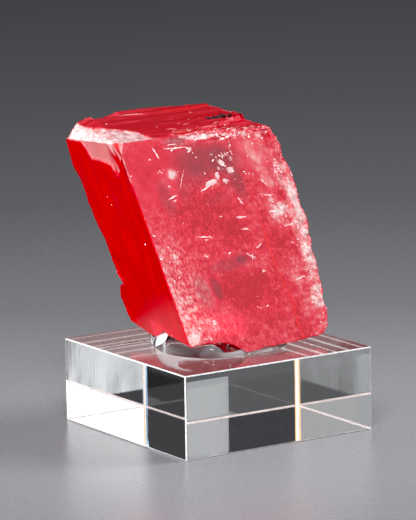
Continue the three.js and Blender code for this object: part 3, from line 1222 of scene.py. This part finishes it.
# %% Frost on the front, and streaks and a painted highlight on the top
FROST_SPOTS = [
    ((6.0, 9.0), (9.0, 9.5), 0, -0.75),
    ((22.0, 6.0), (11.0, 4.5), 0, -0.6),
    ((33.0, 7.0), (6.0, 6.5), 0, -0.4),
    ((10.0, 36.0), (3.0, 5.0), 0, -0.35),
    ((20.0, 31.0), (7.0, 2.2), 0, -0.45),
    ((4.0, 36.0), (6.5, 14.0), 0, 0.55),
]


def frost_at(u, v):
    """How sugary the front's texture is. The clear places are smooth."""
    total = 0.75 + 0.35 * fbm(Vector((u, v, 0)) * 0.12, 95)
    return min(1.6, max(0.08, total + spots_at(FROST_SPOTS, u, v)))


# Pale streaks along the top's steps. The first, longest one is a painted highlight.
TOP_STREAKS_AND_HIGHLIGHT = [
    ((16.0, 26.2), (6.2, 0.8), -14, 0.75),
    ((23.5, 17.0), (5.0, 0.5), -4, 0.35),
    ((13.5, 19.3), (3.5, 0.4), -6, 0.35),
    ((30.5, 9.2), (4.5, 0.8), 4, 0.30),
    ((38.5, 8.0), (4.5, 3.0), 0, 0.28),
    ((23.8, 9.4), (1.6, 0.5), 8, 0.75),
    ((18.1, 6.6), (1.6, 0.5), -8, 0.7),
    ((18.3, 2.7), (2.2, 0.8), 0, 0.5),
]


def top_streaks_shade_and_highlight(u, w):
    """The top is deep red, darkened as painted shade, with pale streaks along its steps and a painted
    highlight.
    """
    total = 0.10 + 0.16 * noise.noise((w * 0.7, u * 0.05, 73)) + spots_at(TOP_STREAKS_AND_HIGHLIGHT, u, w)
    along_front = smoothstep(3.2, 0.6, w + 0.8 * fbm(Vector((u * 0.4, 0, 0)), 75))
    return total + 0.55 * along_front * smoothstep(13, 17, u)


print("frost spots and top streaks:", len(FROST_SPOTS), len(TOP_STREAKS_AND_HIGHLIGHT))

# %% Bruises
BRUISE_SPOTS = [
    # (across, down), (half width, half height), turn in degrees, density
    ((11.6, 8.8), (1.3, 1.1), 0, 1.0),
    ((18.6, 3.8), (0.9, 0.7), 0, 0.9),
    ((25.7, 8.0), (1.2, 1.0), 0, 1.0),
    ((27.4, 9.8), (1.3, 1.1), 0, 1.0),
    ((23.4, 10.6), (1.0, 0.9), 0, 0.9),
    ((21.4, 12.1), (2.6, 0.9), -12, 1.0),
    ((25.2, 12.2), (1.1, 0.9), 20, 1.0),
    ((28.6, 7.4), (0.7, 0.7), 0, 0.8),
    ((26.6, 6.4), (0.8, 0.5), 0, 0.8),
    ((24.6, 9.2), (0.7, 0.6), 0, 0.7),
    ((19.2, 13.3), (1.8, 0.4), -20, 0.5),
    ((27.2, 17.6), (0.5, 0.9), 0, 0.7),
    ((25.4, 20.9), (1.1, 0.5), 10, 0.8),
    ((26.6, 23.8), (1.6, 0.4), 8, 0.7),
    ((12.5, 28.1), (1.0, 0.8), 0, 0.3),
    ((27.5, 28.4), (1.0, 0.5), 50, 0.6),
    ((25.2, 30.4), (1.3, 0.35), 32, 0.7),
    ((27.1, 33.9), (0.8, 0.6), 0, 0.8),
    ((35.3, 13.6), (0.7, 0.7), 0, 0.9),
    ((36.9, 20.9), (2.6, 1.6), 5, 0.7),
    ((38.0, 24.5), (3.0, 0.7), 4, 0.5),
    ((42.2, 19.0), (1.4, 5.5), 0, 0.8),
    ((40.5, 30.5), (1.6, 3.0), 0, 0.4),
    ((39.2, 41.2), (1.6, 3.5), 0, 0.45),
    ((23.0, 1.4), (7.0, 0.9), 2, 0.9),
    ((32.0, 1.9), (5.0, 1.2), 6, 0.6),
    ((38.0, 2.6), (4.0, 1.6), 0, 0.4),
    ((17.5, 0.7), (1.6, 0.5), 0, 0.8),
    ((14.7, 3.1), (3.0, 0.25), 2, 0.9),
    ((29.6, 4.4), (0.6, 2.2), 0, 0.5),
    ((2.2, 46.6), (1.6, 1.6), 0, 0.7),
    ((8.8, 43.6), (1.4, 0.8), 0, 0.7),
    ((5.9, 46.8), (1.2, 1.0), 0, 0.5),
    ((8.4, 8.1), (2.4, 0.3), 0, 0.5),
    ((28.0, 6.2), (0.8, 0.8), 0, 0.6),
    ((23.6, 5.6), (0.8, 0.5), 0, 0.45),
    ((19.9, 9.6), (1.0, 0.5), -15, 0.5),
    ((9.2, 3.5), (0.5, 1.6), -16, 0.6),
    ((9.5, 20.5), (0.7, 0.5), 0, 0.55),
    ((32.6, 11.5), (1.6, 0.6), 10, 0.5),
    ((34.0, 16.5), (1.8, 0.5), 8, 0.5),
    ((36.0, 18.2), (2.4, 0.6), 5, 0.6),
    ((40.3, 11.5), (1.5, 3.5), 0, 0.5),
    ((41.3, 25.5), (1.3, 3.0), 0, 0.6),
    ((36.4, 36.9), (2.2, 0.4), -12, 0.6),
    ((39.7, 36.5), (1.2, 2.6), 0, 0.45),
    ((22.3, 42.0), (0.6, 0.5), 0, 0.4),
    ((14.6, 24.1), (2.6, 0.35), 6, 0.5),
    ((24.8, 7.2), (3.5, 3.5), 0, 0.10),
]


def front_bruise(u, v):
    """Where tiny white cleavage flakes lift off the front face."""
    place = Vector((u, v, 0))
    total = 0.003 + 0.05 * smoothstep(0.30, 0.65, fbm(place * 0.35, 101))
    total += 0.10 * smoothstep(6, 0.5, u) * smoothstep(20, 32, v)
    total += 0.05 * smoothstep(32, 40, u)
    total += 0.25 * smoothstep(0.9, 0.1, u) * smoothstep(18, 24, v)
    return min(1.0, total + spots_at(BRUISE_SPOTS, u, v))


def bruise_amount(place, side, on_edge):
    """How thickly white flakes lie at a place: most on the front, nearly none on the left face."""
    u, v, w = place
    total = side["front"] * front_bruise(u, v)
    total += side["top"] * (0.003 + 0.42 * smoothstep(15, 18, u) * smoothstep(6.5, 3.0, w))
    total += side["left"] * 0.001
    total += side["right"] * 0.15
    total += side["back"] * 0.03
    return total + 0.02 * on_edge


print("bruise spots:", len(BRUISE_SPOTS))


# %% Paint the crystal
def haze_and_painted_light_amount(place, side):
    """How milky the stone is, and the top's painted light. The left face is clearest, the right side
    cloudiest.
    """
    u, v, w = place
    right_cloud = 0.46 + 0.22 * fbm(place * 0.22, 91) + 0.16 * noise.noise((v * 0.10, w * 0.8, 99))
    back_cloud = 0.24 + 0.24 * fbm(place * 0.18, 93) + 0.12 * noise.noise((v * 0.08, u * 0.7, 94))
    left_cloud = 0.07 + 0.11 * noise.noise((w * 0.30, v * 0.09, 97)) + 0.05 * fbm(place * 0.8, 98)
    haze_with_painted_light = side["front"] * front_haze(u, v)
    haze_with_painted_light += side["right"] * right_cloud
    haze_with_painted_light += side["back"] * back_cloud
    haze_with_painted_light += side["under"] * 0.25
    haze_with_painted_light += side["left"] * left_cloud
    haze_with_painted_light += side["top"] * top_streaks_shade_and_highlight(u, w)
    haze_with_painted_light += (1 - max(side.values())) * 0.35 * smoothstep(20, 30, u)
    return min(1.0, max(0.0, haze_with_painted_light))


def vein_gap(place):
    """How far a place is from the bright vein, which is kept off the upper half of the front."""
    gap = place.x - vein_line(place.y)
    return gap + math.copysign(3 * smoothstep(24, 14, place.y), gap)


PAINTED = {
    "haze": lambda place, side, on_edge: haze_and_painted_light_amount(place, side),
    "smoke": lambda place, side, on_edge: side["front"] * smoke_and_shade_at(place.x, place.y),
    "fresh": lambda place, side, on_edge: min(1.0, fresh_amount(place, side)),
    "bruise": bruise_amount,
    "frost": lambda place, side, on_edge: (
        side["front"] * frost_at(place.x, place.y) + (1 - side["front"]) * 0.40
    ),
    "vein": lambda place, side, on_edge: vein_gap(place),
}

rhomb_mesh = bpy.data.meshes.new("rhodochrosite_rhomb")
cell_mesh.transform(rhomb_frame)
cell_mesh.to_mesh(rhomb_mesh)
cell_mesh.free()
for name, amount in PAINTED.items():
    paint(rhomb_mesh, name, "FLOAT", [amount(*known) for known in marks])
paint(rhomb_mesh, "rhomb_place", "FLOAT_VECTOR", [place * MM for place, _, _ in marks])
print("painted on each vertex:", ", ".join(PAINTED))

# %% [markdown]
# ## The stone
#
# Rhodochrosite is see-through only where it is flawless. Light goes a little way in, turns red and
# comes back out, and where tiny cracks scatter it the red pales to pink and white. Subsurface
# scattering could give that, but it blurs the fine bruises. Here the stone is nearly half glass, with
# a red absorption inside it, and half a coloured body whose colour is read from how hazy a place is:
# deep red where the veil is thin, then rose, pink and white. Three textures in the crystal's own
# frame break the veil up: sugary cells, mottling, and fibres along the cleavage.

# %% Rhodochrosite
# The colour of the stone, by how hazy it is, with the top's painted shade and highlight.
VEIL_STOPS = (
    (0.0, (0.67, 0.002, 0.008)),
    (0.13, (0.50, 0.002, 0.016)),
    (0.26, (0.69, 0.009, 0.034)),
    (0.42, (0.81, 0.027, 0.064)),
    (0.58, (0.86, 0.10, 0.14)),
    (0.74, (0.94, 0.25, 0.27)),
    (0.88, (0.95, 0.48, 0.48)),
    (1.0, (0.98, 0.74, 0.73)),
)
# The grey of the clear places is painted shade.
SMOKE_AND_SHADE = (0.27, 0.040, 0.062, 1)
CRUSHED = (0.98, 0.74, 0.74, 1)
VEIN_RED = (0.97, 0.02, 0.01, 1)
STONE_IOR = 1.6
INNER_RED = (0.97, 0.08, 0.10, 1)
INNER_DENSITY = 110.0

stone, stone_tree, stone_shader = new_material("rhodochrosite_translucent")


def mark(name, output="Fac"):
    """A painted attribute of the crystal."""
    return add(stone_tree, "ShaderNodeAttribute", {"attribute_name": name}).outputs[output]


def swing(value, size):
    """A share about its middle, times a size."""
    return math_node(stone_tree, "MULTIPLY", math_node(stone_tree, "SUBTRACT", value, 0.5), size)


where = mark("rhomb_place", "Vector")
cleaved = add(stone_tree, "ShaderNodeMapping", Vector=where, Scale=(1.0, 0.6, 1.0)).outputs[0]
drawn = add(stone_tree, "ShaderNodeMapping", Vector=where, Scale=(1.0, 0.22, 1.0)).outputs[0]
sugar = add(stone_tree, "ShaderNodeTexVoronoi", Vector=cleaved, Scale=3000.0)
sugar_share = add(stone_tree, "ShaderNodeSeparateColor", Color=sugar.outputs["Color"]).outputs[0]
mottle = grain(stone_tree, where, 520.0, 8.0, 0.34, 0.66, 0.75)
fibre = grain(stone_tree, drawn, 2600.0, 3.0, 0.34, 0.66, 0.7)
texture = math_node(stone_tree, "ADD", swing(sugar_share, 0.34), swing(mottle["Share"], 0.34))
texture = math_node(stone_tree, "ADD", texture, swing(fibre["Share"], 0.14))
print("texture layers: sugar, mottle, fibre")

# %% The veil and its colour
# On the top, the haze also carries painted shade and a painted highlight.
haze_and_painted_light_mark = mark("haze")
hold = math_node(stone_tree, "MULTIPLY", ranged(stone_tree, haze_and_painted_light_mark, 0.01, 0.14), mark("frost"))
held_texture = math_node(stone_tree, "MULTIPLY", texture, hold)
veil = math_node(stone_tree, "ADD", haze_and_painted_light_mark, held_texture, clamp=True)
colour = ramp(stone_tree, veil, VEIL_STOPS)
print("veil stops:", len(VEIL_STOPS))

# %% Smoke, vein and crushed places
# The clear places are greyed with painted shade.
smoke_and_shade_part = ranged(stone_tree, fibre["Noise"], 0.70, 0.40, 0.45, 1.0)
smoke_and_shade_share = math_node(stone_tree, "MULTIPLY", mark("smoke"), smoke_and_shade_part)
colour = mix_colour(stone_tree, smoke_and_shade_share, colour, SMOKE_AND_SHADE)

vein_width = math_node(stone_tree, "ABSOLUTE", mark("vein"))
vein_edge = math_node(stone_tree, "ADD", vein_width, swing(mottle["Noise"], 0.9))
vein_share = ranged(stone_tree, vein_edge, 0.26, 0.06, 0.0, 0.85)
colour = mix_colour(stone_tree, vein_share, colour, VEIN_RED)

splinter = grain(stone_tree, cleaved, 1300.0, 5.0, 0.35, 0.65, 0.75)
splinter_part = math_node(stone_tree, "ADD", mark("bruise"), swing(splinter["Noise"], 2.6))
splinter_share = ranged(stone_tree, splinter_part, 0.52, 0.78, 0.0, 0.95)
crushed_part = ranged(stone_tree, mottle["Noise"], 0.30, 0.52, 0.40, 1.0)
crushed_share = math_node(stone_tree, "MULTIPLY", mark("fresh"), crushed_part)
crushed_share = math_node(stone_tree, "MAXIMUM", crushed_share, splinter_share)
colour = mix_colour(stone_tree, crushed_share, colour, CRUSHED)
stone_tree.links.new(colour, stone_shader.inputs["Base Color"])
print("nodes in the stone so far:", len(stone_tree.nodes))

# %% The stone's surface and inside
rough = math_node(stone_tree, "ADD", math_node(stone_tree, "MULTIPLY", veil, 0.26), 0.28)
stone_tree.links.new(rough, stone_shader.inputs["Roughness"])
stone_shader.inputs["IOR"].default_value = STONE_IOR
stone_shader.inputs["Transmission Weight"].default_value = 0.45
stone_shader.inputs["Specular IOR Level"].default_value = 0.14
bump = add(stone_tree, "ShaderNodeBump", Height=texture, Strength=0.5, Distance=0.0001)
stone_tree.links.new(bump.outputs["Normal"], stone_shader.inputs["Normal"])
absorb = add(stone_tree, "ShaderNodeVolumeAbsorption", Color=INNER_RED, Density=INNER_DENSITY)
stone_tree.links.new(absorb.outputs[0], stone_tree.nodes["Material Output"].inputs["Volume"])

crystal = finished_object("rhodochrosite_rhomb", rhomb_mesh, stone, 32)
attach(crystal, "root")
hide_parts("rhodochrosite_crystal")
print("crystal faces:", len(rhomb_mesh.polygons))

# %% [markdown]
# ## White flakes
#
# Where the crystal was knocked, thin flakes have lifted along the cleavage and stand a little off the
# face. They catch the light one by one, which no texture does. There are nearly two thousand, so
# Geometry Nodes scatter them: points over the crystal, as dense as its bruise attribute says, and on each
# point a flattened, dented ball of twenty faces, turned along the cleavage. The instances are
# realised at the end, because the exported model keeps only plain meshes.

# %% Flake finish
FLAKE_PINK = (0.95, 0.46, 0.47, 1)
FLAKE_WHITE = (0.98, 0.80, 0.79, 1)
FLAKE_ROUGHNESS = 0.45

flake_material, flake_tree, flake_shader = new_material("crushed_flake")
flake_grain = grain(flake_tree, object_place(flake_tree), 1800.0, 2.0, 0.35, 0.65)
flake_colour = mix_colour(flake_tree, flake_grain["Share"], FLAKE_PINK, FLAKE_WHITE)
flake_tree.links.new(flake_colour, flake_shader.inputs["Base Color"])
flake_shader.inputs["Roughness"].default_value = FLAKE_ROUGHNESS
print("flake roughness:", FLAKE_ROUGHNESS)


# %% Parts of the scatter
# A flake's width and thickness against its length, and how far its corners are dented.
FLAKE_SHAPE = (1.0, 0.45, 0.14)
FLAKE_DENT = (0.28, 0.28, 0.1)
# How far a flake turns off the face and off the cleavage, in radians.
FLAKE_TILT = (0.10, 0.10, 0.7)


def random_vector(tree, seed, reach):
    """A random vector for each point, as far as a reach to both sides of 0."""
    node = add(tree, "FunctionNodeRandomValue", {"data_type": "FLOAT_VECTOR"}, Seed=seed)
    feed(tree, node.inputs, (tuple(-value for value in reach), reach))
    return node.outputs[0]


def flake_shape(tree, seed):
    """One flake: a small ball, dented and then flattened."""
    ball = add(tree, "GeometryNodeMeshIcoSphere", Radius=0.5, Subdivisions=1)
    dent = random_vector(tree, seed, FLAKE_DENT)
    dented = add(tree, "GeometryNodeSetPosition", Geometry=ball.outputs["Mesh"], Offset=dent)
    flat = add(tree, "GeometryNodeTransform", Geometry=dented.outputs[0], Scale=FLAKE_SHAPE)
    return flat.outputs[0]


def flake_turn(tree, seed, normal, direction):
    """Each flake's rotation: flat on the surface, along the grain, then a little off both."""
    lying = add(tree, "FunctionNodeAlignRotationToVector", {"axis": "Z"}, Vector=normal)
    along = add(
        tree,
        "FunctionNodeAlignRotationToVector",
        {"axis": "X", "pivot_axis": "Z"},
        Rotation=lying.outputs[0],
        Vector=direction,
    )
    off = random_vector(tree, seed, FLAKE_TILT)
    turned = add(
        tree,
        "FunctionNodeRotateRotation",
        {"rotation_space": "LOCAL"},
        Rotation=along.outputs[0],
        Rotate_By=off,
    )
    return turned.outputs[0]


def flake_size(tree, seed, length):
    """Each flake's size: most are small and a few are long."""
    chance = add(tree, "FunctionNodeRandomValue", {"data_type": "FLOAT"}, Seed=seed)
    feed(tree, chance.inputs[2:4], (0.0, 1.0))
    skewed = math_node(tree, "POWER", chance.outputs[1], 2.5)
    grown = math_node(tree, "MULTIPLY_ADD", skewed, 1.1, 0.35)
    return math_node(tree, "MULTIPLY", grown, length)


# %% Scatter tree
SCATTER_INPUTS = (
    ("Geometry", "NodeSocketGeometry", None),
    ("Flakes per square metre", "NodeSocketFloat", 4.0e6),
    ("Flake length", "NodeSocketFloat", 0.55 * MM),
    ("Sunk", "NodeSocketFloat", 0.0),
    ("Seed", "NodeSocketInt", 4),
    ("Grain direction", "NodeSocketVector", None),
    ("Finish", "NodeSocketMaterial", None),
)


def flake_scatter():
    """Scatters thin flakes over a surface, as thickly as its bruise attribute says."""
    tree = bpy.data.node_groups.new("scatter_flakes", "GeometryNodeTree")
    for name, kind, default in SCATTER_INPUTS:
        socket = tree.interface.new_socket(name, in_out="INPUT", socket_type=kind)
        if default is not None:
            socket.default_value = default
    tree.interface.new_socket("Geometry", in_out="OUTPUT", socket_type="NodeSocketGeometry")
    given = tree.nodes.new("NodeGroupInput").outputs
    result = tree.nodes.new("NodeGroupOutput").inputs

    bruise = add(tree, "GeometryNodeInputNamedAttribute", {"data_type": "FLOAT"}, Name="bruise")
    thickness = math_node(tree, "MULTIPLY", bruise.outputs["Attribute"], given["Flakes per square metre"])
    scatter = add(
        tree,
        "GeometryNodeDistributePointsOnFaces",
        Mesh=given["Geometry"],
        Density=thickness,
        Seed=given["Seed"],
    )
    inwards = vector_node(tree, "SCALE", scatter.outputs["Normal"])
    feed(tree, [inwards.inputs["Scale"]], [math_node(tree, "MULTIPLY", given["Sunk"], -1.0)])
    sunk = add(
        tree,
        "GeometryNodeSetPosition",
        Geometry=scatter.outputs["Points"],
        Offset=inwards.outputs[0],
    )
    placed = add(
        tree,
        "GeometryNodeInstanceOnPoints",
        Points=sunk.outputs[0],
        Instance=flake_shape(tree, given["Seed"]),
        Rotation=flake_turn(tree, given["Seed"], scatter.outputs["Normal"], given["Grain direction"]),
        Scale=flake_size(tree, given["Seed"], given["Flake length"]),
    )
    real = add(tree, "GeometryNodeRealizeInstances", Geometry=placed.outputs[0])
    finish = add(
        tree,
        "GeometryNodeSetMaterial",
        Geometry=real.outputs[0],
        Material=given["Finish"],
    )
    tree.links.new(finish.outputs[0], result["Geometry"])
    return tree


scatter_flakes = flake_scatter()
print("scatter inputs:", ", ".join(name for name, _, _ in SCATTER_INPUTS))


# %% Scatter the flakes
def set_inputs(modifier, values):
    """Sets a Geometry Nodes modifier's inputs, found by their names."""
    for item in modifier.node_group.interface.items_tree:
        if item.item_type == "SOCKET" and item.in_out == "INPUT" and item.name in values:
            modifier[item.identifier] = values[item.name]


def scattered(name, surface, group, values):
    """The plain mesh that a scatter makes over a copy of a surface."""
    holder = bpy.data.objects.new(name + "_holder", surface.data)
    scene.collection.objects.link(holder)
    modifier = holder.modifiers.new("scatter", "NODES")
    modifier.node_group = group
    set_inputs(modifier, values)
    evaluated = holder.evaluated_get(bpy.context.evaluated_depsgraph_get())
    mesh = bpy.data.meshes.new_from_object(evaluated)
    bpy.data.objects.remove(holder)
    mesh.name = name
    return finished_object(name, mesh)


flakes = scattered(
    "crushed_flakes",
    crystal,
    scatter_flakes,
    {"Finish": flake_material, "Grain direction": across, "Seed": 4},
)
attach(flakes, "root")
print("flake faces:", len(flakes.data.polygons))

# %% [markdown]
# ## Crumbs on the block
#
# A specimen that has been handled sheds crumbs, and they stay on the block's top and along its lower
# edges. They are the same flakes, smaller and fewer, so the same tree scatters them with other
# inputs. They are sunk by about half their thickness or more, so that they hardly stand out past the
# block's own faces: at its underside by less than a hundredth of a millimetre.


# %% Crumbs
def crumb_amount(place):
    """Crumbs of the crystal lie on the block and catch along its lower edges."""
    on_top = smoothstep(block_high.z - 0.1 * MM, block_high.z, place.z)
    near_foot = smoothstep(2.2 * MM, 0.3 * MM, place.z)
    patch = max(0.0, noise.noise(place / (5 * MM)) + 0.25)
    return 0.006 * on_top + patch * 0.05 * near_foot + 0.0012


paint(block.data, "bruise", "FLOAT", [crumb_amount(vert.co) for vert in block.data.vertices])
crumbs = scattered(
    "crystal_crumbs",
    block,
    scatter_flakes,
    {
        "Finish": flake_material,
        "Grain direction": across,
        "Flake length": 0.14 * MM,
        "Flakes per square metre": 5.0e6,
        "Sunk": 0.012 * MM,
        "Seed": 9,
    },
)
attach(crumbs, "root")
print("crumb faces:", len(crumbs.data.polygons))

# %% [markdown]
# ## Splinters
#
# A few longer splinters and scratches on the front each have their own place and slant, which a
# scatter can't give. They are listed by their two ends. Each becomes a sliver with a triangular
# section, thick in its middle, ragged along its sides and tapered to both ends, that follows the
# sculpted face.

# %% Splinters along the cleavage
SPLINTERS = [
    # from (across, down), to (across, down), width
    ((11.6, 2.9), (17.8, 3.2), 0.34),
    ((12.9, 2.2), (15.6, 2.3), 0.30),
    ((8.9, 2.1), (9.8, 5.0), 0.42),
    ((15.1, 8.3), (12.2, 12.6), 0.12),
    ((8.1, 14.4), (10.8, 13.7), 0.36),
    ((9.4, 14.9), (10.4, 14.6), 0.26),
    ((17.6, 13.7), (20.2, 12.8), 0.42),
    ((19.8, 11.9), (22.8, 11.6), 0.5),
    ((12.4, 23.7), (16.4, 24.3), 0.34),
    ((13.9, 24.7), (15.0, 24.8), 0.24),
    ((25.0, 20.6), (27.4, 21.1), 0.34),
    ((24.8, 23.6), (27.0, 24.0), 0.32),
    ((26.9, 16.2), (28.0, 18.3), 0.34),
    ((27.4, 28.5), (29.0, 27.4), 0.26),
    ((23.8, 29.2), (26.2, 30.8), 0.42),
    ((25.5, 29.5), (25.0, 31.0), 0.22),
    ((34.3, 37.3), (37.4, 36.6), 0.34),
    ((33.8, 20.6), (36.6, 20.9), 0.42),
    ((34.6, 16.8), (36.4, 17.1), 0.32),
    ((36.8, 24.6), (39.8, 24.2), 0.32),
    ((20.8, 1.9), (24.6, 1.6), 0.36),
    ((27.4, 2.7), (30.6, 2.2), 0.36),
]


def sliver(built, start, end, width, seed):
    """A thin splinter with ragged edges, as a closed shape on the front face."""
    start, end = Vector(start), Vector(end)
    count = max(4, int((end - start).length / 0.45))
    aside = Vector((start.y - end.y, end.x - start.x)).normalized()
    top, low, high = [], [], []
    for step in range(count + 1):
        share = step / count
        ragged = 0.75 + 0.7 * noise.noise((seed, share * count * 0.9, 1))
        swell = width * (0.2 + 0.8 * math.sin(math.pi * share)) * ragged
        wander = 0.2 * noise.noise((seed, share * 4, 5))
        centre = start.lerp(end, share) + aside * wander
        depth = front_depth(centre.x, centre.y)
        for row, offset, lift in ((low, -swell, -0.06), (top, 0.2 * swell, 0.05), (high, swell, -0.06)):
            across_at, down_at = centre + aside * offset
            place = rhomb_frame @ (Vector((across_at, down_at, depth - lift)) * MM)
            row.append(built.verts.new(place))
    for step in range(count):
        for first, second in ((low, top), (top, high), (high, low)):
            built.faces.new((first[step], first[step + 1], second[step + 1], second[step]))
    built.faces.new((low[0], top[0], high[0]))
    built.faces.new((high[-1], top[-1], low[-1]))


def bmesh_object(name, built, material):
    """A new object from a bmesh, with its faces turned outwards."""
    bmesh.ops.recalc_face_normals(built, faces=built.faces)
    mesh = bpy.data.meshes.new(name)
    built.to_mesh(mesh)
    built.free()
    return finished_object(name, mesh, material)


splinter_shapes = bmesh.new()
for number, (start, end, width) in enumerate(SPLINTERS):
    sliver(splinter_shapes, start, end, width, 3.7 * number)
splinters = bmesh_object("cleavage_splinters", splinter_shapes, flake_material)
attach(splinters, "root")
print("splinter faces:", len(splinters.data.polygons))

# %% [markdown]
# ## Dark grains
#
# A short row of black grains, probably an ore that grew with the stone, sits along one step of the
# top. They are squashed balls at random places along a line, from a generator with a fixed seed, so
# that every run makes the same ones.

# %% Dark grains
# The row runs across between two places, starts this far back and slants back as it goes.
GRAIN_COUNT = 26
GRAIN_ROW = (31.4, 37.6)
GRAIN_BACK = 11.4
GRAIN_SLANT = 0.09
GRAIN_SCATTER = 0.35
GRAIN_SIZES = (0.25, 0.75)

grain_material, _, grain_shader = new_material("dark_inclusion")
grain_shader.inputs["Base Color"].default_value = (0.012, 0.008, 0.010, 1)
grain_shader.inputs["Roughness"].default_value = 0.35
chance = random.Random(11)
grain_shapes = bmesh.new()
for _ in range(GRAIN_COUNT):
    u = chance.uniform(*GRAIN_ROW)
    w = GRAIN_BACK + GRAIN_SLANT * (u - GRAIN_ROW[0]) + chance.gauss(0, GRAIN_SCATTER)
    size = chance.uniform(*GRAIN_SIZES) * MM
    centre = rhomb_frame @ (Vector((u, top_depth(u, w), w)) * MM)
    angle = chance.uniform(0, 6.28)
    axle = Vector((chance.random(), chance.random(), chance.random()))
    turn = Matrix.Rotation(angle, 4, axle)
    shape = Matrix.Translation(centre) @ turn @ Matrix.Diagonal((size, size * 0.6, size * 0.45, 1))
    bmesh.ops.create_icosphere(grain_shapes, subdivisions=1, radius=1.0, matrix=shape)
grains = bmesh_object("dark_grains", grain_shapes, grain_material)
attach(grains, "root")
print("grain faces:", len(grains.data.polygons))

# %% [markdown]
# ## The gel
#
# The crystal stands askew on a pad of clear, tacky gel that was pressed flat under it and bulges at
# its rim. A simulation could press it. It is simpler to build the pad as rings inside a smooth
# outline: the rim climbs as a quarter circle, and wherever the crystal is lower than the pad's crown,
# a ray cast upwards finds the stone and the gel stops just inside it. Its foot sinks a hair into the
# block in the same way, so that no gap shows between the pieces.

# %% Gel finish
GEL_IOR = 1.42

gel_material, _, gel_shader = new_material("clear_gel_tacky")
gel_shader.inputs["Base Color"].default_value = (1, 1, 1, 1)
gel_shader.inputs["Transmission Weight"].default_value = 1.0
gel_shader.inputs["IOR"].default_value = GEL_IOR
gel_shader.inputs["Roughness"].default_value = 0.02
print("gel IOR:", GEL_IOR)

# %% Gel pad
# The pad's outline, in millimetres on the block's top.
GEL_RIM = [
    (-9.7, 11.9),
    (-13.4, 5.2),
    (-15.5, -1.6),
    (-14.9, -7.0),
    (-12.2, -12.2),
    (-7.2, -14.8),
    (-1.2, -15.2),
    (4.2, -15.2),
    (9.0, -13.2),
    (12.6, -9.6),
    (14.0, -2.0),
    (11.0, 7.0),
    (2.0, 12.2),
]
# How many places each ring has.
GEL_STEPS = 120
# In millimetres: how far each ring lies in from the rim, the crown's height, the rim's roundness, how
# far the foot stands over the block's top, and how far the gel reaches into the stone.
GEL_RINGS = [0.0, 0.06, 0.2, 0.45, 0.8, 1.25, 1.9, 2.8, 4.0, 6.0, 9.0]
GEL_CROWN = 3.9
GEL_ROUND = 2.2
GEL_FLOAT = -0.15
GEL_BITE = 0.2


def closed_curve(points, steps):
    """Places along a smooth closed curve through the points."""
    count = len(points)
    found = []
    for step in range(steps):
        travel = step * count / steps
        start = int(travel)
        share = travel - start
        p0, p1, p2, p3 = (Vector((*points[(start + offset) % count], 0)) for offset in (-1, 0, 1, 2))
        found.append(
            0.5
            * (
                2 * p1
                + (p2 - p0) * share
                + (2 * p0 - 5 * p1 + 4 * p2 - p3) * share**2
                + (3 * p1 - p0 - 3 * p2 + p3) * share**3
            )
        )
    return found


def build_gel():
    """The pad: a flat foot, a rounded rim, and a crown that stops at the stone."""
    underside = BVHTree.FromObject(crystal, bpy.context.evaluated_depsgraph_get())
    rim = closed_curve(GEL_RIM, GEL_STEPS)
    centre = sum(rim, Vector((0, 0, 0))) / len(rim)
    seat = block_high.z / MM + GEL_FLOAT

    def under_stone(x, y, height):
        """A place of the pad, no higher than just inside the stone above it."""
        start = Vector((x, y, seat)) * MM
        hit, _, _, distance = underside.ray_cast(start, Vector((0, 0, 1)))
        if hit is not None:
            height = min(height, seat + distance / MM + GEL_BITE)
        return Vector((x, y, height)) * MM

    verts = []
    for inset in GEL_RINGS:
        climb = math.sqrt(max(0.0, 1 - (1 - min(1.0, inset / GEL_ROUND)) ** 2))
        for place in rim:
            inner = place + (centre - place).normalized() * inset
            crown = GEL_CROWN * (1 + 0.10 * noise.noise(inner * 0.15))
            verts.append(under_stone(inner.x, inner.y, seat + climb * crown))
    verts.append(under_stone(centre.x, centre.y, seat + GEL_CROWN))
    faces = [tuple(range(GEL_STEPS))]
    for ring in range(len(GEL_RINGS) - 1):
        for step in range(GEL_STEPS):
            following = (step + 1) % GEL_STEPS
            first, second = ring * GEL_STEPS, (ring + 1) * GEL_STEPS
            faces.append((first + step, second + step, second + following, first + following))
    last = (len(GEL_RINGS) - 1) * GEL_STEPS
    for step in range(GEL_STEPS):
        faces.append((last + step, len(verts) - 1, last + (step + 1) % GEL_STEPS))
    made = mesh_object("mounting_gel_pad", verts, faces, gel_material, 60)
    fixed = bmesh.new()
    fixed.from_mesh(made.data)
    bmesh.ops.recalc_face_normals(fixed, faces=fixed.faces)
    fixed.to_mesh(made.data)
    fixed.free()
    return made


gel = build_gel()
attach(gel, "root")
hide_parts("mounting_gel")
print("gel faces:", len(gel.data.polygons))
